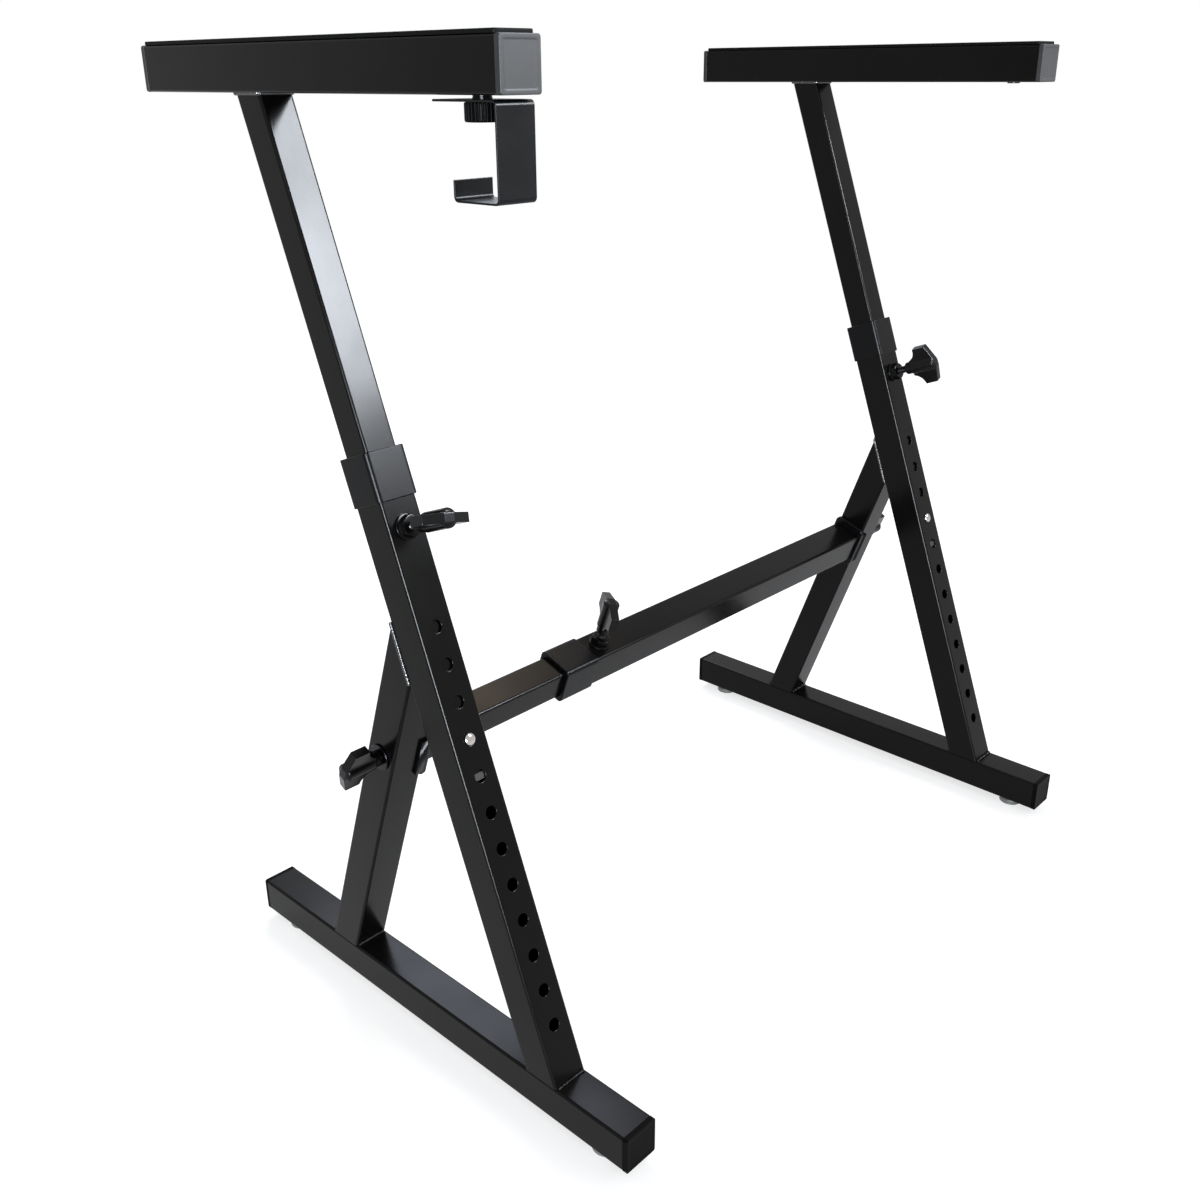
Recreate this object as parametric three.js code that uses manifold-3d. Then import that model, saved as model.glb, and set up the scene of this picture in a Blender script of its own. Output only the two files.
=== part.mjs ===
// Z-shaped keyboard stand: two welded side frames on floor tubes, joined by a
// telescoping crossbar. A post slides in each front leg and carries a level arm
// with a rubber strip. Wing knobs and sprung buttons hold the settings, and an
// accessory hook hangs under the left arm.
//
// Millimetres. +X runs to the right, +Y to the rear and +Z up. The origin is on
// the floor, under the middle of the stand.

import * as THREE from "three";
import { mergeVertices } from "three/addons/utils/BufferGeometryUtils.js";
import Module from "manifold-3d";

const wasm = await Module();
wasm.setup();

// Square steel tube, shared by the whole stand
const tubeSize = 35;
const tubeWall = 1.5;
const tubeRound = 2.5;
const slideClearance = 1;

// Clearances and allowances
const pieceGap = 0.3;
const cutOverrun = 4;
const reachPastCut = 60;

// Overall layout
const frameSpacing = 730;
const legTiltDegrees = 20.6;
const braceTiltDegrees = 19.6;

// Floor tube
const footLength = 516;
const legFootInset = 98.5;
const footSpread = 275.5;

// Glides under the floor tube
const glideHeight = 9;
const glideRadius = 13;
const glideInset = 38;
const glideStemRadius = 3.7;
const glideStemRise = 5;

// End caps of the floor tubes and arms
const capFlange = 5;
const capBevel = 1.5;
const capPlugLength = 20;
const capBorder = 4;
const capRecess = 0.6;

// Front leg, its row of holes and the height knob above them
const holeCount = 12;
const firstHole = 45;
const holePitch = 32;
const holeRadius = 5.5;
const buttonHole = 8;
const heightKnobRise = 83;
const heightKnobDrop = 60.5;

// Plastic collars where a tube slides in another
const collarWall = 1.7;
const collarEnd = 3;
const collarBevel = 1;
const legCollarLength = 40.5;
const barCollarLength = 43.5;

// Sliding post
const buttonToArm = 524;
const postBelowButton = 29;
const guideFlange = 6;
const guidePlugLength = 15;

// Sprung button and its leaf spring
const buttonShankRise = 0.8;
const buttonDomeRise = 2;
const buttonFlangeRadius = 6.8;
const buttonFlangeThickness = 1.2;
const springThickness = 0.7;
const springWidth = 11;
const springArmLength = 48;
const springTail = 6;
const springBendRadius = 3;

// Level arm and its rubber strip
const armFrontReach = 284.5;
const armRearReach = 146;
const padThickness = 2.8;
const padSideInset = 0.5;
const padBevel = 0.8;

// Threaded insert under each arm
const insertInset = 36.5;
const insertFlangeRadius = 6.3;
const insertFlangeThickness = 1.2;
const insertBodyRadius = 4.8;
const insertLength = 12;

// Clamp screws, their nuts and the moulded wing knobs
const screwRadius = 4;
const nutAcrossFlats = 17;
const nutHeight = 9.2;
const nutFlangeRadius = 10.8;
const nutFlangeThickness = 2;
const knobLength = 37.5;
const wingLength = 45;
const wingThickness = 7.8;
const hubRadius = 7;
const hubLength = 6.5;
const bossRadius = 8;
const bossBevel = 1.5;
const studDepth = 24;
const heightKnobStandoff = 20.5;
const widthKnobStandoff = 16.5;
const wingTurnDegrees = {
  left_height: -11, right_height: 110, width: 57, left_bar: -8, right_bar: 10,
};

// Crossbar and its end saddles
const barStation = 254;
const barCollarX = -130;
const innerBarEndX = 120;
const widthKnobOffset = 19;
const saddleThickness = 4;
const saddleLength = 54;
const saddleChamfer = 7;
const saddleTaper = 1.4;
const saddlePlugLength = 22;
const barScrewSetback = 4;
const lipThickness = 2.6;
const lipDepth = 8.5;
const lipLength = 40;
const washerRadius = 12;
const washerThickness = 1.5;

// Weld beads
const beadSize = 3.6;
const beadSink = 0.8;
const sideBeadWidth = 5;
const sideBeadHeight = 1.1;

// Accessory hook under the left arm
const strapWidth = 33.5;
const strapThickness = 1.5;
const strapDrop = 62.5;
const strapFrontReach = 30.5;
const strapRearReach = 30;
const strapBendRadius = 3;
const strapLipReach = 42;
const strapLipRise = 14;
const spacerRadius = 6.5;
const spacerWaistRadius = 5.8;
const spacerHeight = 1.2;
const hookScrewRadius = 3;
const hookScrewRise = 11;
const hookKnobRadius = 12;
const hookKnobHeight = 12;
const hookKnobBevel = 1.4;
const fluteDepth = 0.7;
const fluteCount = 30;

// Counts that set how finely round shapes are cut
const cornerSteps = 3;
const roundSides = 24;
const boreSides = 16;

// Sizes worked out from the ones above
const halfTube = tubeSize / 2;
const innerTubeSize = tubeSize - 2 * tubeWall - 2 * slideClearance;
const innerTubeRound = Math.max(tubeRound - tubeWall, pieceGap);
const legTilt = THREE.MathUtils.degToRad(legTiltDegrees);
const braceTilt = THREE.MathUtils.degToRad(braceTiltDegrees);
const braceFootY = legFootInset + footSpread;
const buttonStation = firstHole + holePitch * buttonHole;
const postTop = buttonStation + buttonToArm;
const postBottom = buttonStation - postBelowButton;
const armY = legFootInset + postTop * Math.sin(legTilt);
const armRise = postTop * Math.cos(legTilt);
const standDepth = Math.max(armY + armRearReach, footLength);
const heightKnobStation = firstHole + holePitch * (holeCount - 1) + heightKnobRise;
const legLength = heightKnobStation + heightKnobDrop;
const deckHeight = glideHeight + tubeSize;
const braceReach = reachPastCut
  + footSpread * Math.cos(legTilt) / Math.sin(legTilt + braceTilt);
const forward = new THREE.Vector2(-1, 0);
const rearward = new THREE.Vector2(1, 0);
const barY = braceFootY - barStation * Math.sin(braceTilt);
const barRise = barStation * Math.cos(braceTilt);
const barEndX = frameSpacing / 2 - halfTube - pieceGap - saddleThickness - pieceGap;
const boltHoleRadius = screwRadius + pieceGap;
const hookBoreRadius = hookScrewRadius + pieceGap;

// Closed solids as manifold bodies, for cutting and joining
function solidOf(geometry) {
  const bare = geometry.clone();
  bare.deleteAttribute("normal");
  bare.deleteAttribute("uv");
  const merged = mergeVertices(bare);
  const corners = merged.index.array;
  const kept = [];
  for (let i = 0; i < corners.length; i += 3) {
    const [a, b, c] = [corners[i], corners[i + 1], corners[i + 2]];
    if (a !== b && b !== c && c !== a) kept.push(a, b, c);
  }
  return new wasm.Manifold(new wasm.Mesh({
    numProp: 3,
    vertProperties: Float32Array.from(merged.attributes.position.array),
    triVerts: Uint32Array.from(kept),
  }));
}

function geometryOf(body) {
  const mesh = body.getMesh();
  const geometry = new THREE.BufferGeometry();
  geometry.setAttribute("position", new THREE.BufferAttribute(mesh.vertProperties, 3));
  geometry.setIndex(new THREE.BufferAttribute(mesh.triVerts, 1));
  return geometry;
}

function cut(geometry, ...tools) {
  let body = solidOf(geometry);
  for (const tool of tools) body = body.subtract(solidOf(tool));
  return geometryOf(body);
}

function join(geometry, ...others) {
  let body = solidOf(geometry);
  for (const other of others) body = body.add(solidOf(other));
  return geometryOf(body);
}

function common(geometry, other) {
  return geometryOf(solidOf(geometry).intersect(solidOf(other)));
}

// Outlines, counter-clockwise and centred on the origin
function roundedOutline(width, height, radius) {
  const points = [];
  const centres = [[1, 1], [-1, 1], [-1, -1], [1, -1]];
  centres.forEach(([sideX, sideY], corner) => {
    for (let step = 0; step <= cornerSteps; step += 1) {
      const angle = (Math.PI / 2) * (corner + step / cornerSteps);
      points.push(new THREE.Vector2(
        sideX * (width / 2 - radius) + radius * Math.cos(angle),
        sideY * (height / 2 - radius) + radius * Math.sin(angle),
      ));
    }
  });
  return points;
}

function chamferedOutline(width, height, chamfer) {
  const [halfX, halfY] = [width / 2, height / 2];
  return [
    new THREE.Vector2(halfX, halfY - chamfer),
    new THREE.Vector2(halfX - chamfer, halfY),
    new THREE.Vector2(chamfer - halfX, halfY),
    new THREE.Vector2(-halfX, halfY - chamfer),
    new THREE.Vector2(-halfX, chamfer - halfY),
    new THREE.Vector2(chamfer - halfX, -halfY),
    new THREE.Vector2(halfX - chamfer, -halfY),
    new THREE.Vector2(halfX, chamfer - halfY),
  ];
}

// Basic solids, standing on z = 0 and reaching up
function prism(outline, length, hole) {
  const shape = new THREE.Shape(outline);
  if (hole) shape.holes.push(new THREE.Path(hole));
  return new THREE.ExtrudeGeometry(shape, { depth: length, bevelEnabled: false });
}

function squareBar(size, radius, length) {
  return prism(roundedOutline(size, size, radius), length);
}

function squareTube(size, radius, length) {
  const bore = size - 2 * tubeWall;
  const boreRound = Math.max(radius - tubeWall, pieceGap);
  return prism(
    roundedOutline(size, size, radius),
    length,
    roundedOutline(bore, bore, boreRound),
  );
}

function block(sizeX, sizeY, sizeZ) {
  return new THREE.BoxGeometry(sizeX, sizeY, sizeZ).translate(0, 0, sizeZ / 2);
}

function rod(radius, length, sides = boreSides) {
  return new THREE.CylinderGeometry(radius, radius, length, sides)
    .rotateX(Math.PI / 2)
    .translate(0, 0, length / 2);
}

function turned(profile, sides = roundSides) {
  const points = profile.map(([radius, height]) => new THREE.Vector2(radius, height));
  return new THREE.LatheGeometry(points, sides).rotateX(Math.PI / 2);
}

function ring(innerRadius, outerRadius, bottom, top) {
  return turned([
    [innerRadius, bottom],
    [outerRadius, bottom],
    [outerRadius, top],
    [innerRadius, top],
    [innerRadius, bottom],
  ]);
}

// Closed solid through a stack of outlines that have the same number of points
function loft(sections) {
  const count = sections[0].outline.length;
  const positions = [];
  for (const { outline, height } of sections) {
    for (const point of outline) positions.push(point.x, point.y, height);
  }
  const last = sections.length - 1;
  const bottomCentre = positions.length / 3;
  positions.push(0, 0, sections[0].height, 0, 0, sections[last].height);
  const faces = [];
  for (let j = 0; j < count; j += 1) {
    const next = (j + 1) % count;
    for (let i = 0; i < last; i += 1) {
      const [low, high] = [i * count, (i + 1) * count];
      faces.push(low + j, low + next, high + next, low + j, high + next, high + j);
    }
    faces.push(bottomCentre, next, j);
    faces.push(bottomCentre + 1, last * count + j, last * count + next);
  }
  const geometry = new THREE.BufferGeometry();
  geometry.setAttribute("position", new THREE.Float32BufferAttribute(positions, 3));
  geometry.setIndex(faces);
  return geometry;
}

// Sheet of even thickness along a path in the Y-Z plane, centred on x = 0
function bentSheet(path, thickness, width) {
  const [left, right] = [[], []];
  path.forEach((point, index) => {
    const before = path[Math.max(index - 1, 0)];
    const after = path[Math.min(index + 1, path.length - 1)];
    const into = point.clone().sub(before).normalize();
    const out = after.clone().sub(point).normalize();
    const along = into.add(out).normalize();
    const side = new THREE.Vector2(-along.y, along.x);
    const previous = point.clone().sub(before).normalize();
    const lean = previous.lengthSq() > 0 ? Math.abs(along.dot(previous)) : 1;
    left.push(point.clone().addScaledVector(side, thickness / 2 / lean));
    right.push(point.clone().addScaledVector(side, -thickness / 2 / lean));
  });
  const outline = [...right, ...left.reverse()];
  return sheetAcross(outline, width);
}

// Outline in Y and Z, given as (y, z) points, pulled out along X about the middle
function sheetAcross(outline, width) {
  return prism(outline, width)
    .translate(0, 0, -width / 2)
    .rotateY(Math.PI / 2)
    .rotateX(Math.PI / 2);
}

// Points of a path whose corners are rounded by one radius
function roundedPath(corners, radius, steps = cornerSteps) {
  const points = [corners[0]];
  for (let i = 1; i < corners.length - 1; i += 1) {
    const toBefore = corners[i - 1].clone().sub(corners[i]).normalize();
    const toAfter = corners[i + 1].clone().sub(corners[i]).normalize();
    const half = Math.acos(THREE.MathUtils.clamp(toBefore.dot(toAfter), -1, 1)) / 2;
    const reach = radius / Math.tan(half);
    const start = corners[i].clone().addScaledVector(toBefore, reach);
    const end = corners[i].clone().addScaledVector(toAfter, reach);
    const centre = corners[i].clone()
      .addScaledVector(toBefore.clone().add(toAfter).normalize(), radius / Math.sin(half));
    const from = start.clone().sub(centre).angle();
    let sweep = end.clone().sub(centre).angle() - from;
    if (sweep > Math.PI) sweep -= 2 * Math.PI;
    if (sweep < -Math.PI) sweep += 2 * Math.PI;
    for (let step = 0; step <= steps; step += 1) {
      const angle = from + (sweep * step) / steps;
      points.push(new THREE.Vector2(
        centre.x + radius * Math.cos(angle),
        centre.y + radius * Math.sin(angle),
      ));
    }
  }
  points.push(corners[corners.length - 1]);
  return points;
}

// Materials
function paint(colour, roughness, metalness) {
  return new THREE.MeshStandardMaterial({ color: colour, roughness, metalness, flatShading: true });
}

const powderCoat = () => paint(0x17171a, 0.42, 0.1);
const plastic = () => paint(0x1b1b1d, 0.55, 0);
const rubber = () => paint(0x101011, 0.9, 0);
const paleRubber = () => paint(0x8d8e90, 0.8, 0);
const chrome = () => paint(0xd8dadc, 0.12, 1);
const blackZinc = () => paint(0x222327, 0.3, 0.9);
const springSteel = () => paint(0x8b8d90, 0.38, 1);

function piece(name, geometry, material) {
  const mesh = new THREE.Mesh(geometry, material);
  mesh.name = name;
  return mesh;
}

function groupAt(x, y, z) {
  const group = new THREE.Group();
  group.position.set(x, y, z);
  return group;
}

// End cap with a plug, its flange's outer face at y = 0 and the plug toward +y
function endCap() {
  const plugSize = tubeSize - 2 * tubeWall - 2 * pieceGap;
  const faceSize = tubeSize - 2 * capBevel;
  const recessSize = faceSize - 2 * capBorder;
  const flange = loft([
    { outline: roundedOutline(faceSize, faceSize, tubeRound), height: 0 },
    { outline: roundedOutline(tubeSize, tubeSize, tubeRound), height: capBevel },
    { outline: roundedOutline(tubeSize, tubeSize, tubeRound), height: capFlange },
  ]);
  const plug = squareBar(plugSize, innerTubeRound, capPlugLength).translate(0, 0, capFlange);
  const recess = squareBar(recessSize, tubeRound, cutOverrun)
    .translate(0, 0, capRecess - cutOverrun);
  return cut(join(flange, plug), recess).rotateX(-Math.PI / 2);
}

// Caps at both ends of a level tube that runs from y = 0 to y = length
function endCaps(name, length) {
  const front = endCap().translate(0, 0, halfTube);
  const rear = endCap().rotateZ(Math.PI).translate(0, length, halfTube);
  return [
    piece(`${name}_cap_front`, front, plastic()),
    piece(`${name}_cap_rear`, rear, plastic()),
  ];
}

function levelTube(length) {
  return squareTube(tubeSize, tubeRound, length - 2 * capFlange)
    .rotateX(-Math.PI / 2)
    .translate(0, capFlange, halfTube);
}

// One glide, its top face on z = 0 and its stem through the wall above
function glide() {
  const [rimShare, shoulderShare, footShare] = [0.62, 0.86, 0.17];
  return turned([
    [0, -glideHeight],
    [glideRadius * (1 - footShare / 2), -glideHeight],
    [glideRadius, -glideHeight * (1 - footShare)],
    [glideRadius, -glideHeight * (1 - rimShare)],
    [glideRadius * shoulderShare, -glideHeight * (1 - shoulderShare)],
    [glideRadius * shoulderShare, 0],
    [glideStemRadius, 0],
    [glideStemRadius, glideStemRise],
    [0, glideStemRise],
  ]);
}

function buildFoot(side, frame) {
  const foot = groupAt(0, 0, glideHeight);
  const glidePlaces = [["front", glideInset], ["rear", footLength - glideInset]];
  const stemHoles = glidePlaces.map(([, y]) => (
    rod(glideStemRadius + pieceGap, tubeWall + 2 * cutOverrun).translate(0, y, -cutOverrun)
  ));
  foot.add(
    piece(`${side}_foot_tube`, cut(levelTube(footLength), ...stemHoles), powderCoat()),
    ...endCaps(`${side}_foot`, footLength),
    ...glidePlaces.map(([end, y]) => (
      piece(`${side}_glide_${end}`, glide().translate(0, y, 0), paleRubber())
    )),
  );
  frame.add(foot);
}

// Block below a level plane, in the local frame of a tube that is tilted by tilt
function levelCutter(tilt, height) {
  return block(2 * reachPastCut, 4 * reachPastCut, 2 * reachPastCut)
    .translate(0, 0, height - 2 * reachPastCut)
    .rotateX(tilt);
}

// Rod from outside to one depth behind the leg's front face, at one station
function frontBore(station, radius, depth) {
  return rod(radius, depth + cutOverrun)
    .rotateX(Math.PI / 2)
    .translate(0, depth - halfTube, station);
}

function buildLeg(side, leg, brace) {
  const tube = squareTube(tubeSize, tubeRound, legLength + reachPastCut)
    .translate(0, 0, -reachPastCut);
  const depth = tubeWall + slideClearance;
  const bores = [frontBore(heightKnobStation, boltHoleRadius + pieceGap, depth)];
  for (let hole = 0; hole < holeCount; hole += 1) {
    bores.push(frontBore(firstHole + holePitch * hole, holeRadius, depth));
  }
  const trimmed = cut(tube, levelCutter(legTilt, pieceGap), ...bores);
  const deckInLeg = new THREE.Matrix4().makeTranslation(0, 0, deckHeight)
    .premultiply(leg.matrix.clone().invert());
  const beads = legBeads(leg, brace).map((bead) => bead.applyMatrix4(deckInLeg));
  leg.add(
    piece(`${side}_leg_tube`, join(trimmed, ...beads), powderCoat()),
    piece(`${side}_leg_collar`, collar(legCollarLength)
      .translate(0, 0, legLength + pieceGap + collarEnd - legCollarLength), plastic()),
  );
}

// Collar over the end of an outer tube, with a lip that guides the inner tube.
// It runs from z = 0 up to its closed end.
function collar(length) {
  const size = tubeSize + 2 * pieceGap + 2 * collarWall;
  const round = tubeRound + collarWall;
  const skin = loft([
    { outline: roundedOutline(size, size, round), height: 0 },
    { outline: roundedOutline(size, size, round), height: length - collarBevel },
    {
      outline: roundedOutline(size - 2 * collarBevel, size - 2 * collarBevel, round),
      height: length,
    },
  ]);
  const socket = squareBar(tubeSize + 2 * pieceGap, tubeRound, length - collarEnd + cutOverrun)
    .translate(0, 0, -cutOverrun);
  const window = squareBar(innerTubeSize + 2 * pieceGap, innerTubeRound, 2 * length);
  return cut(skin, socket, window);
}

// Everything in front of the leg's rear face, in the brace's local frame
function legSideInBrace(leg, brace, gap) {
  const legInBrace = brace.matrix.clone().invert().multiply(leg.matrix);
  return block(2 * tubeSize, 2 * legLength, 2 * legLength)
    .translate(0, halfTube + gap - legLength, 0)
    .applyMatrix4(legInBrace);
}

function buildBrace(side, brace, leg) {
  const tube = squareTube(tubeSize, tubeRound, braceReach + reachPastCut)
    .translate(0, 0, -reachPastCut);
  const boltBore = rod(boltHoleRadius + pieceGap, 2 * tubeSize)
    .translate(0, 0, -tubeSize)
    .rotateY(Math.PI / 2)
    .translate(0, 0, barStation);
  const trimmed = cut(
    tube,
    levelCutter(-braceTilt, pieceGap),
    legSideInBrace(leg, brace, pieceGap),
    boltBore,
  );
  const deckInBrace = new THREE.Matrix4().makeTranslation(0, 0, deckHeight)
    .premultiply(brace.matrix.clone().invert());
  const beads = braceBeads().map((bead) => bead.applyMatrix4(deckInBrace));
  brace.add(piece(`${side}_brace_tube`, join(trimmed, ...beads), powderCoat()));
}

// Where two lines in the Y-Z plane cross, each given by a point and a direction
function crossingOf(pointA, alongA, pointB, alongB) {
  const between = pointB.clone().sub(pointA);
  const reach = between.cross(alongB) / alongA.cross(alongB);
  return pointA.clone().addScaledVector(alongA, reach);
}

// Fillet weld along X in the corner where face A meets face B. Each direction
// leaves the corner along its face. The bead is fused to face B and stays
// clear of face A.
function filletBead(corner, alongA, alongB) {
  const bulgeShare = 0.6;
  const root = corner.clone()
    .addScaledVector(alongB, pieceGap / Math.abs(alongA.cross(alongB)));
  const tip = corner.clone().addScaledVector(alongB, beadSize);
  const bulge = corner.clone()
    .addScaledVector(alongA, beadSize * bulgeShare)
    .addScaledVector(alongB, beadSize * bulgeShare);
  const outline = [
    root.clone().addScaledVector(alongA, -beadSink),
    root.clone().addScaledVector(alongA, beadSize),
    bulge,
    tip,
    tip.clone().addScaledVector(alongA, -beadSink),
  ];
  if (alongA.cross(alongB) < 0) outline.reverse();
  return sheetAcross(outline, tubeSize - 2 * tubeRound);
}

// Directions and faces of the two tilted tubes over the floor tube, as (y, z)
function tiltedFaces() {
  const legUp = new THREE.Vector2(Math.sin(legTilt), Math.cos(legTilt));
  const braceUp = new THREE.Vector2(-Math.sin(braceTilt), Math.cos(braceTilt));
  const legHalf = halfTube / Math.cos(legTilt);
  const braceHalf = halfTube / Math.cos(braceTilt);
  const legRear = new THREE.Vector2(legFootInset + legHalf, 0);
  const braceFront = new THREE.Vector2(braceFootY - braceHalf, 0);
  const braceRear = new THREE.Vector2(braceFootY + braceHalf, 0);
  return {
    legUp,
    braceUp,
    legFront: new THREE.Vector2(legFootInset - legHalf, 0),
    legRear,
    braceFront,
    braceRear,
    jointLow: crossingOf(legRear, legUp, braceFront, braceUp),
    jointHigh: crossingOf(legRear, legUp, braceRear, braceUp),
  };
}

// Welds fused to the leg: at its foot and round its joint with the brace
function legBeads(leg, brace) {
  const at = tiltedFaces();
  const braceDown = at.braceUp.clone().negate();
  return [
    filletBead(at.legFront, forward, at.legUp),
    filletBead(at.legRear, rearward, at.legUp),
    filletBead(at.jointLow, braceDown, at.legUp.clone().negate()),
    filletBead(at.jointHigh, braceDown, at.legUp),
    ...[1, -1].map((sideX) => sideBead(at.jointLow, at.jointHigh, sideX, leg, brace)),
  ];
}

function braceBeads() {
  const at = tiltedFaces();
  return [
    filletBead(at.braceFront, forward, at.braceUp),
    filletBead(at.braceRear, rearward, at.braceUp),
  ];
}

// Flat bead over the flush side of the joint, fused to the leg and clear of the brace
function sideBead(low, high, sideX, leg, brace) {
  const length = high.clone().sub(low).length();
  const crownShare = 0.5;
  const crown = sideBeadWidth * crownShare;
  const chamfer = sideBeadWidth / 4;
  const strip = loft([
    { outline: chamferedOutline(length, sideBeadWidth, chamfer), height: -beadSink },
    { outline: chamferedOutline(length, sideBeadWidth, chamfer), height: pieceGap },
    { outline: chamferedOutline(length - crown, crown, chamfer / 2), height: sideBeadHeight },
  ])
    .rotateY(sideX * Math.PI / 2)
    .rotateX(-legTilt)
    .translate(sideX * halfTube, (low.x + high.x) / 2, (low.y + high.y) / 2);
  const braceInDeck = new THREE.Matrix4().makeTranslation(0, 0, -deckHeight)
    .multiply(brace.matrix);
  const braceSkin = cut(
    squareBar(tubeSize + 2 * pieceGap, tubeRound, braceReach + reachPastCut),
    legSideInBrace(leg, brace, 0),
  ).applyMatrix4(braceInDeck);
  return cut(strip, braceSkin);
}

// Weld nut, standing on a tube's face at z = 0
function weldNut() {
  const hexRadius = nutAcrossFlats / 2 / Math.cos(Math.PI / 6);
  const hex = rod(hexRadius, nutHeight - pieceGap, 6).translate(0, 0, pieceGap);
  const flange = rod(nutFlangeRadius, nutFlangeThickness, roundSides).translate(0, 0, pieceGap);
  const bore = rod(boltHoleRadius, nutHeight + 2 * cutOverrun).translate(0, 0, -cutOverrun);
  return cut(join(hex, flange), bore);
}

// Flat blade along X with round ends
function wingOutline() {
  const roundSteps = 6;
  const endRadius = wingThickness / 2;
  const endX = wingLength / 2 - endRadius;
  const points = [];
  for (const side of [1, -1]) {
    for (let step = 0; step <= roundSteps; step += 1) {
      const angle = Math.PI * (step / roundSteps) - Math.PI / 2;
      points.push(new THREE.Vector2(
        side * (endX + endRadius * Math.cos(angle)),
        side * endRadius * Math.sin(angle),
      ));
    }
  }
  return points;
}

// Half of the blade's broad view, as shares of half its wing and of the knob's length
const wingViewShares = [
  [0.36, 0.18], [0.42, 0.27], [0.55, 0.36], [0.75, 0.42], [1, 0.45],
  [1, 0.84], [0.95, 0.86], [0.36, 1],
];

// Moulded wing knob with a blind bore, from its hub at z = 0 to its end, blade along X
function wingKnob() {
  const right = wingViewShares.map(([across, up]) => (
    new THREE.Vector2(across * wingLength / 2, up * knobLength)
  ));
  const left = right.map((point) => new THREE.Vector2(-point.x, point.y)).reverse();
  const view = prism([...right, ...left], 2 * wingThickness)
    .translate(0, 0, -wingThickness)
    .rotateX(Math.PI / 2);
  const blade = common(view, prism(wingOutline(), knobLength));
  const boss = turned([
    [0, 0],
    [hubRadius, 0],
    [hubRadius, hubLength],
    [bossRadius, hubLength + bossRadius - hubRadius],
    [bossRadius, knobLength - bossBevel],
    [bossRadius - bossBevel, knobLength],
    [0, knobLength],
  ], boreSides);
  const bore = rod(boltHoleRadius, studDepth + cutOverrun).translate(0, 0, -cutOverrun);
  return cut(join(blade, boss), bore);
}

// Screw from a tip inside the tube wall to its end in the knob, z = 0 on the tube's face
function clampScrew(standoff) {
  const tip = -(tubeWall + slideClearance) + pieceGap;
  return rod(screwRadius, standoff + studDepth - pieceGap - tip).translate(0, 0, tip);
}

// Nut, screw and knob that clamp a sliding tube, wing turned by wingTurn degrees
function buildClamp(names, mount, standoff, wingTurn) {
  const turn = groupAt(0, 0, standoff);
  turn.rotation.z = THREE.MathUtils.degToRad(wingTurn);
  turn.add(piece(names.knob, wingKnob(), plastic()));
  mount.add(
    piece(names.nut, weldNut(), powderCoat()),
    piece(names.screw, clampScrew(standoff), blackZinc()),
    turn,
  );
}

function outwardMount(station) {
  const mount = groupAt(0, -halfTube, station);
  mount.rotation.x = Math.PI / 2;
  return mount;
}

// Button with an inner flange, z = 0 on the leg's front face
function snapButton() {
  const shank = holeRadius - pieceGap;
  const innerFace = -(2 * tubeWall + slideClearance) - pieceGap;
  const domeSteps = 4;
  const profile = [
    [0, innerFace - buttonFlangeThickness],
    [buttonFlangeRadius, innerFace - buttonFlangeThickness],
    [buttonFlangeRadius, innerFace],
    [shank, innerFace],
  ];
  for (let step = 0; step <= domeSteps; step += 1) {
    const angle = (Math.PI / 2) * (step / domeSteps);
    profile.push([
      step === domeSteps ? 0 : shank * Math.cos(angle),
      buttonShankRise + buttonDomeRise * Math.sin(angle),
    ]);
  }
  return turned(profile, boreSides);
}

// Folded leaf spring inside the post, its fold above the button
function snapSpring() {
  const frontY = -(halfTube - 2 * tubeWall - slideClearance) + 2 * pieceGap
    + buttonFlangeThickness + springThickness / 2;
  const rearY = innerTubeSize / 2 - tubeWall - pieceGap - springThickness / 2;
  const top = buttonStation + springArmLength;
  const tail = buttonStation - springTail;
  const corners = [
    new THREE.Vector2(frontY, tail),
    new THREE.Vector2(frontY, buttonStation + buttonFlangeRadius),
    new THREE.Vector2((frontY + rearY) / 2 - springBendRadius, top),
    new THREE.Vector2((frontY + rearY) / 2 + springBendRadius, top),
    new THREE.Vector2(rearY, buttonStation),
    new THREE.Vector2(rearY, tail),
  ];
  return bentSheet(roundedPath(corners, springBendRadius), springThickness, springWidth);
}

// Plug with a flange that runs in the outer tube, its flange under z = 0
function guidePlug() {
  const flangeSize = tubeSize - 2 * tubeWall - 2 * pieceGap;
  const plugSize = innerTubeSize - 2 * tubeWall - 2 * pieceGap;
  const flange = squareBar(flangeSize, innerTubeRound, guideFlange)
    .translate(0, 0, -guideFlange - pieceGap);
  const plug = squareBar(plugSize, innerTubeRound, guidePlugLength + 2 * pieceGap)
    .translate(0, 0, -2 * pieceGap);
  return join(flange, plug);
}

// Weld round the post's top, fused to it and clear of the arm above
function postBead() {
  const slantSize = innerTubeSize / Math.cos(legTilt);
  const skirt = loft([
    { outline: chamferedOutline(innerTubeSize, slantSize, tubeRound), height: -beadSize },
    {
      outline: chamferedOutline(innerTubeSize + beadSize, slantSize + 2 * beadSize, tubeRound),
      height: -pieceGap,
    },
  ])
    .rotateX(legTilt)
    .translate(0, 0, postTop);
  const bore = squareBar(innerTubeSize - tubeWall, innerTubeRound, postTop);
  return cut(skirt, bore.translate(0, 0, postTop / 2));
}

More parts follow.
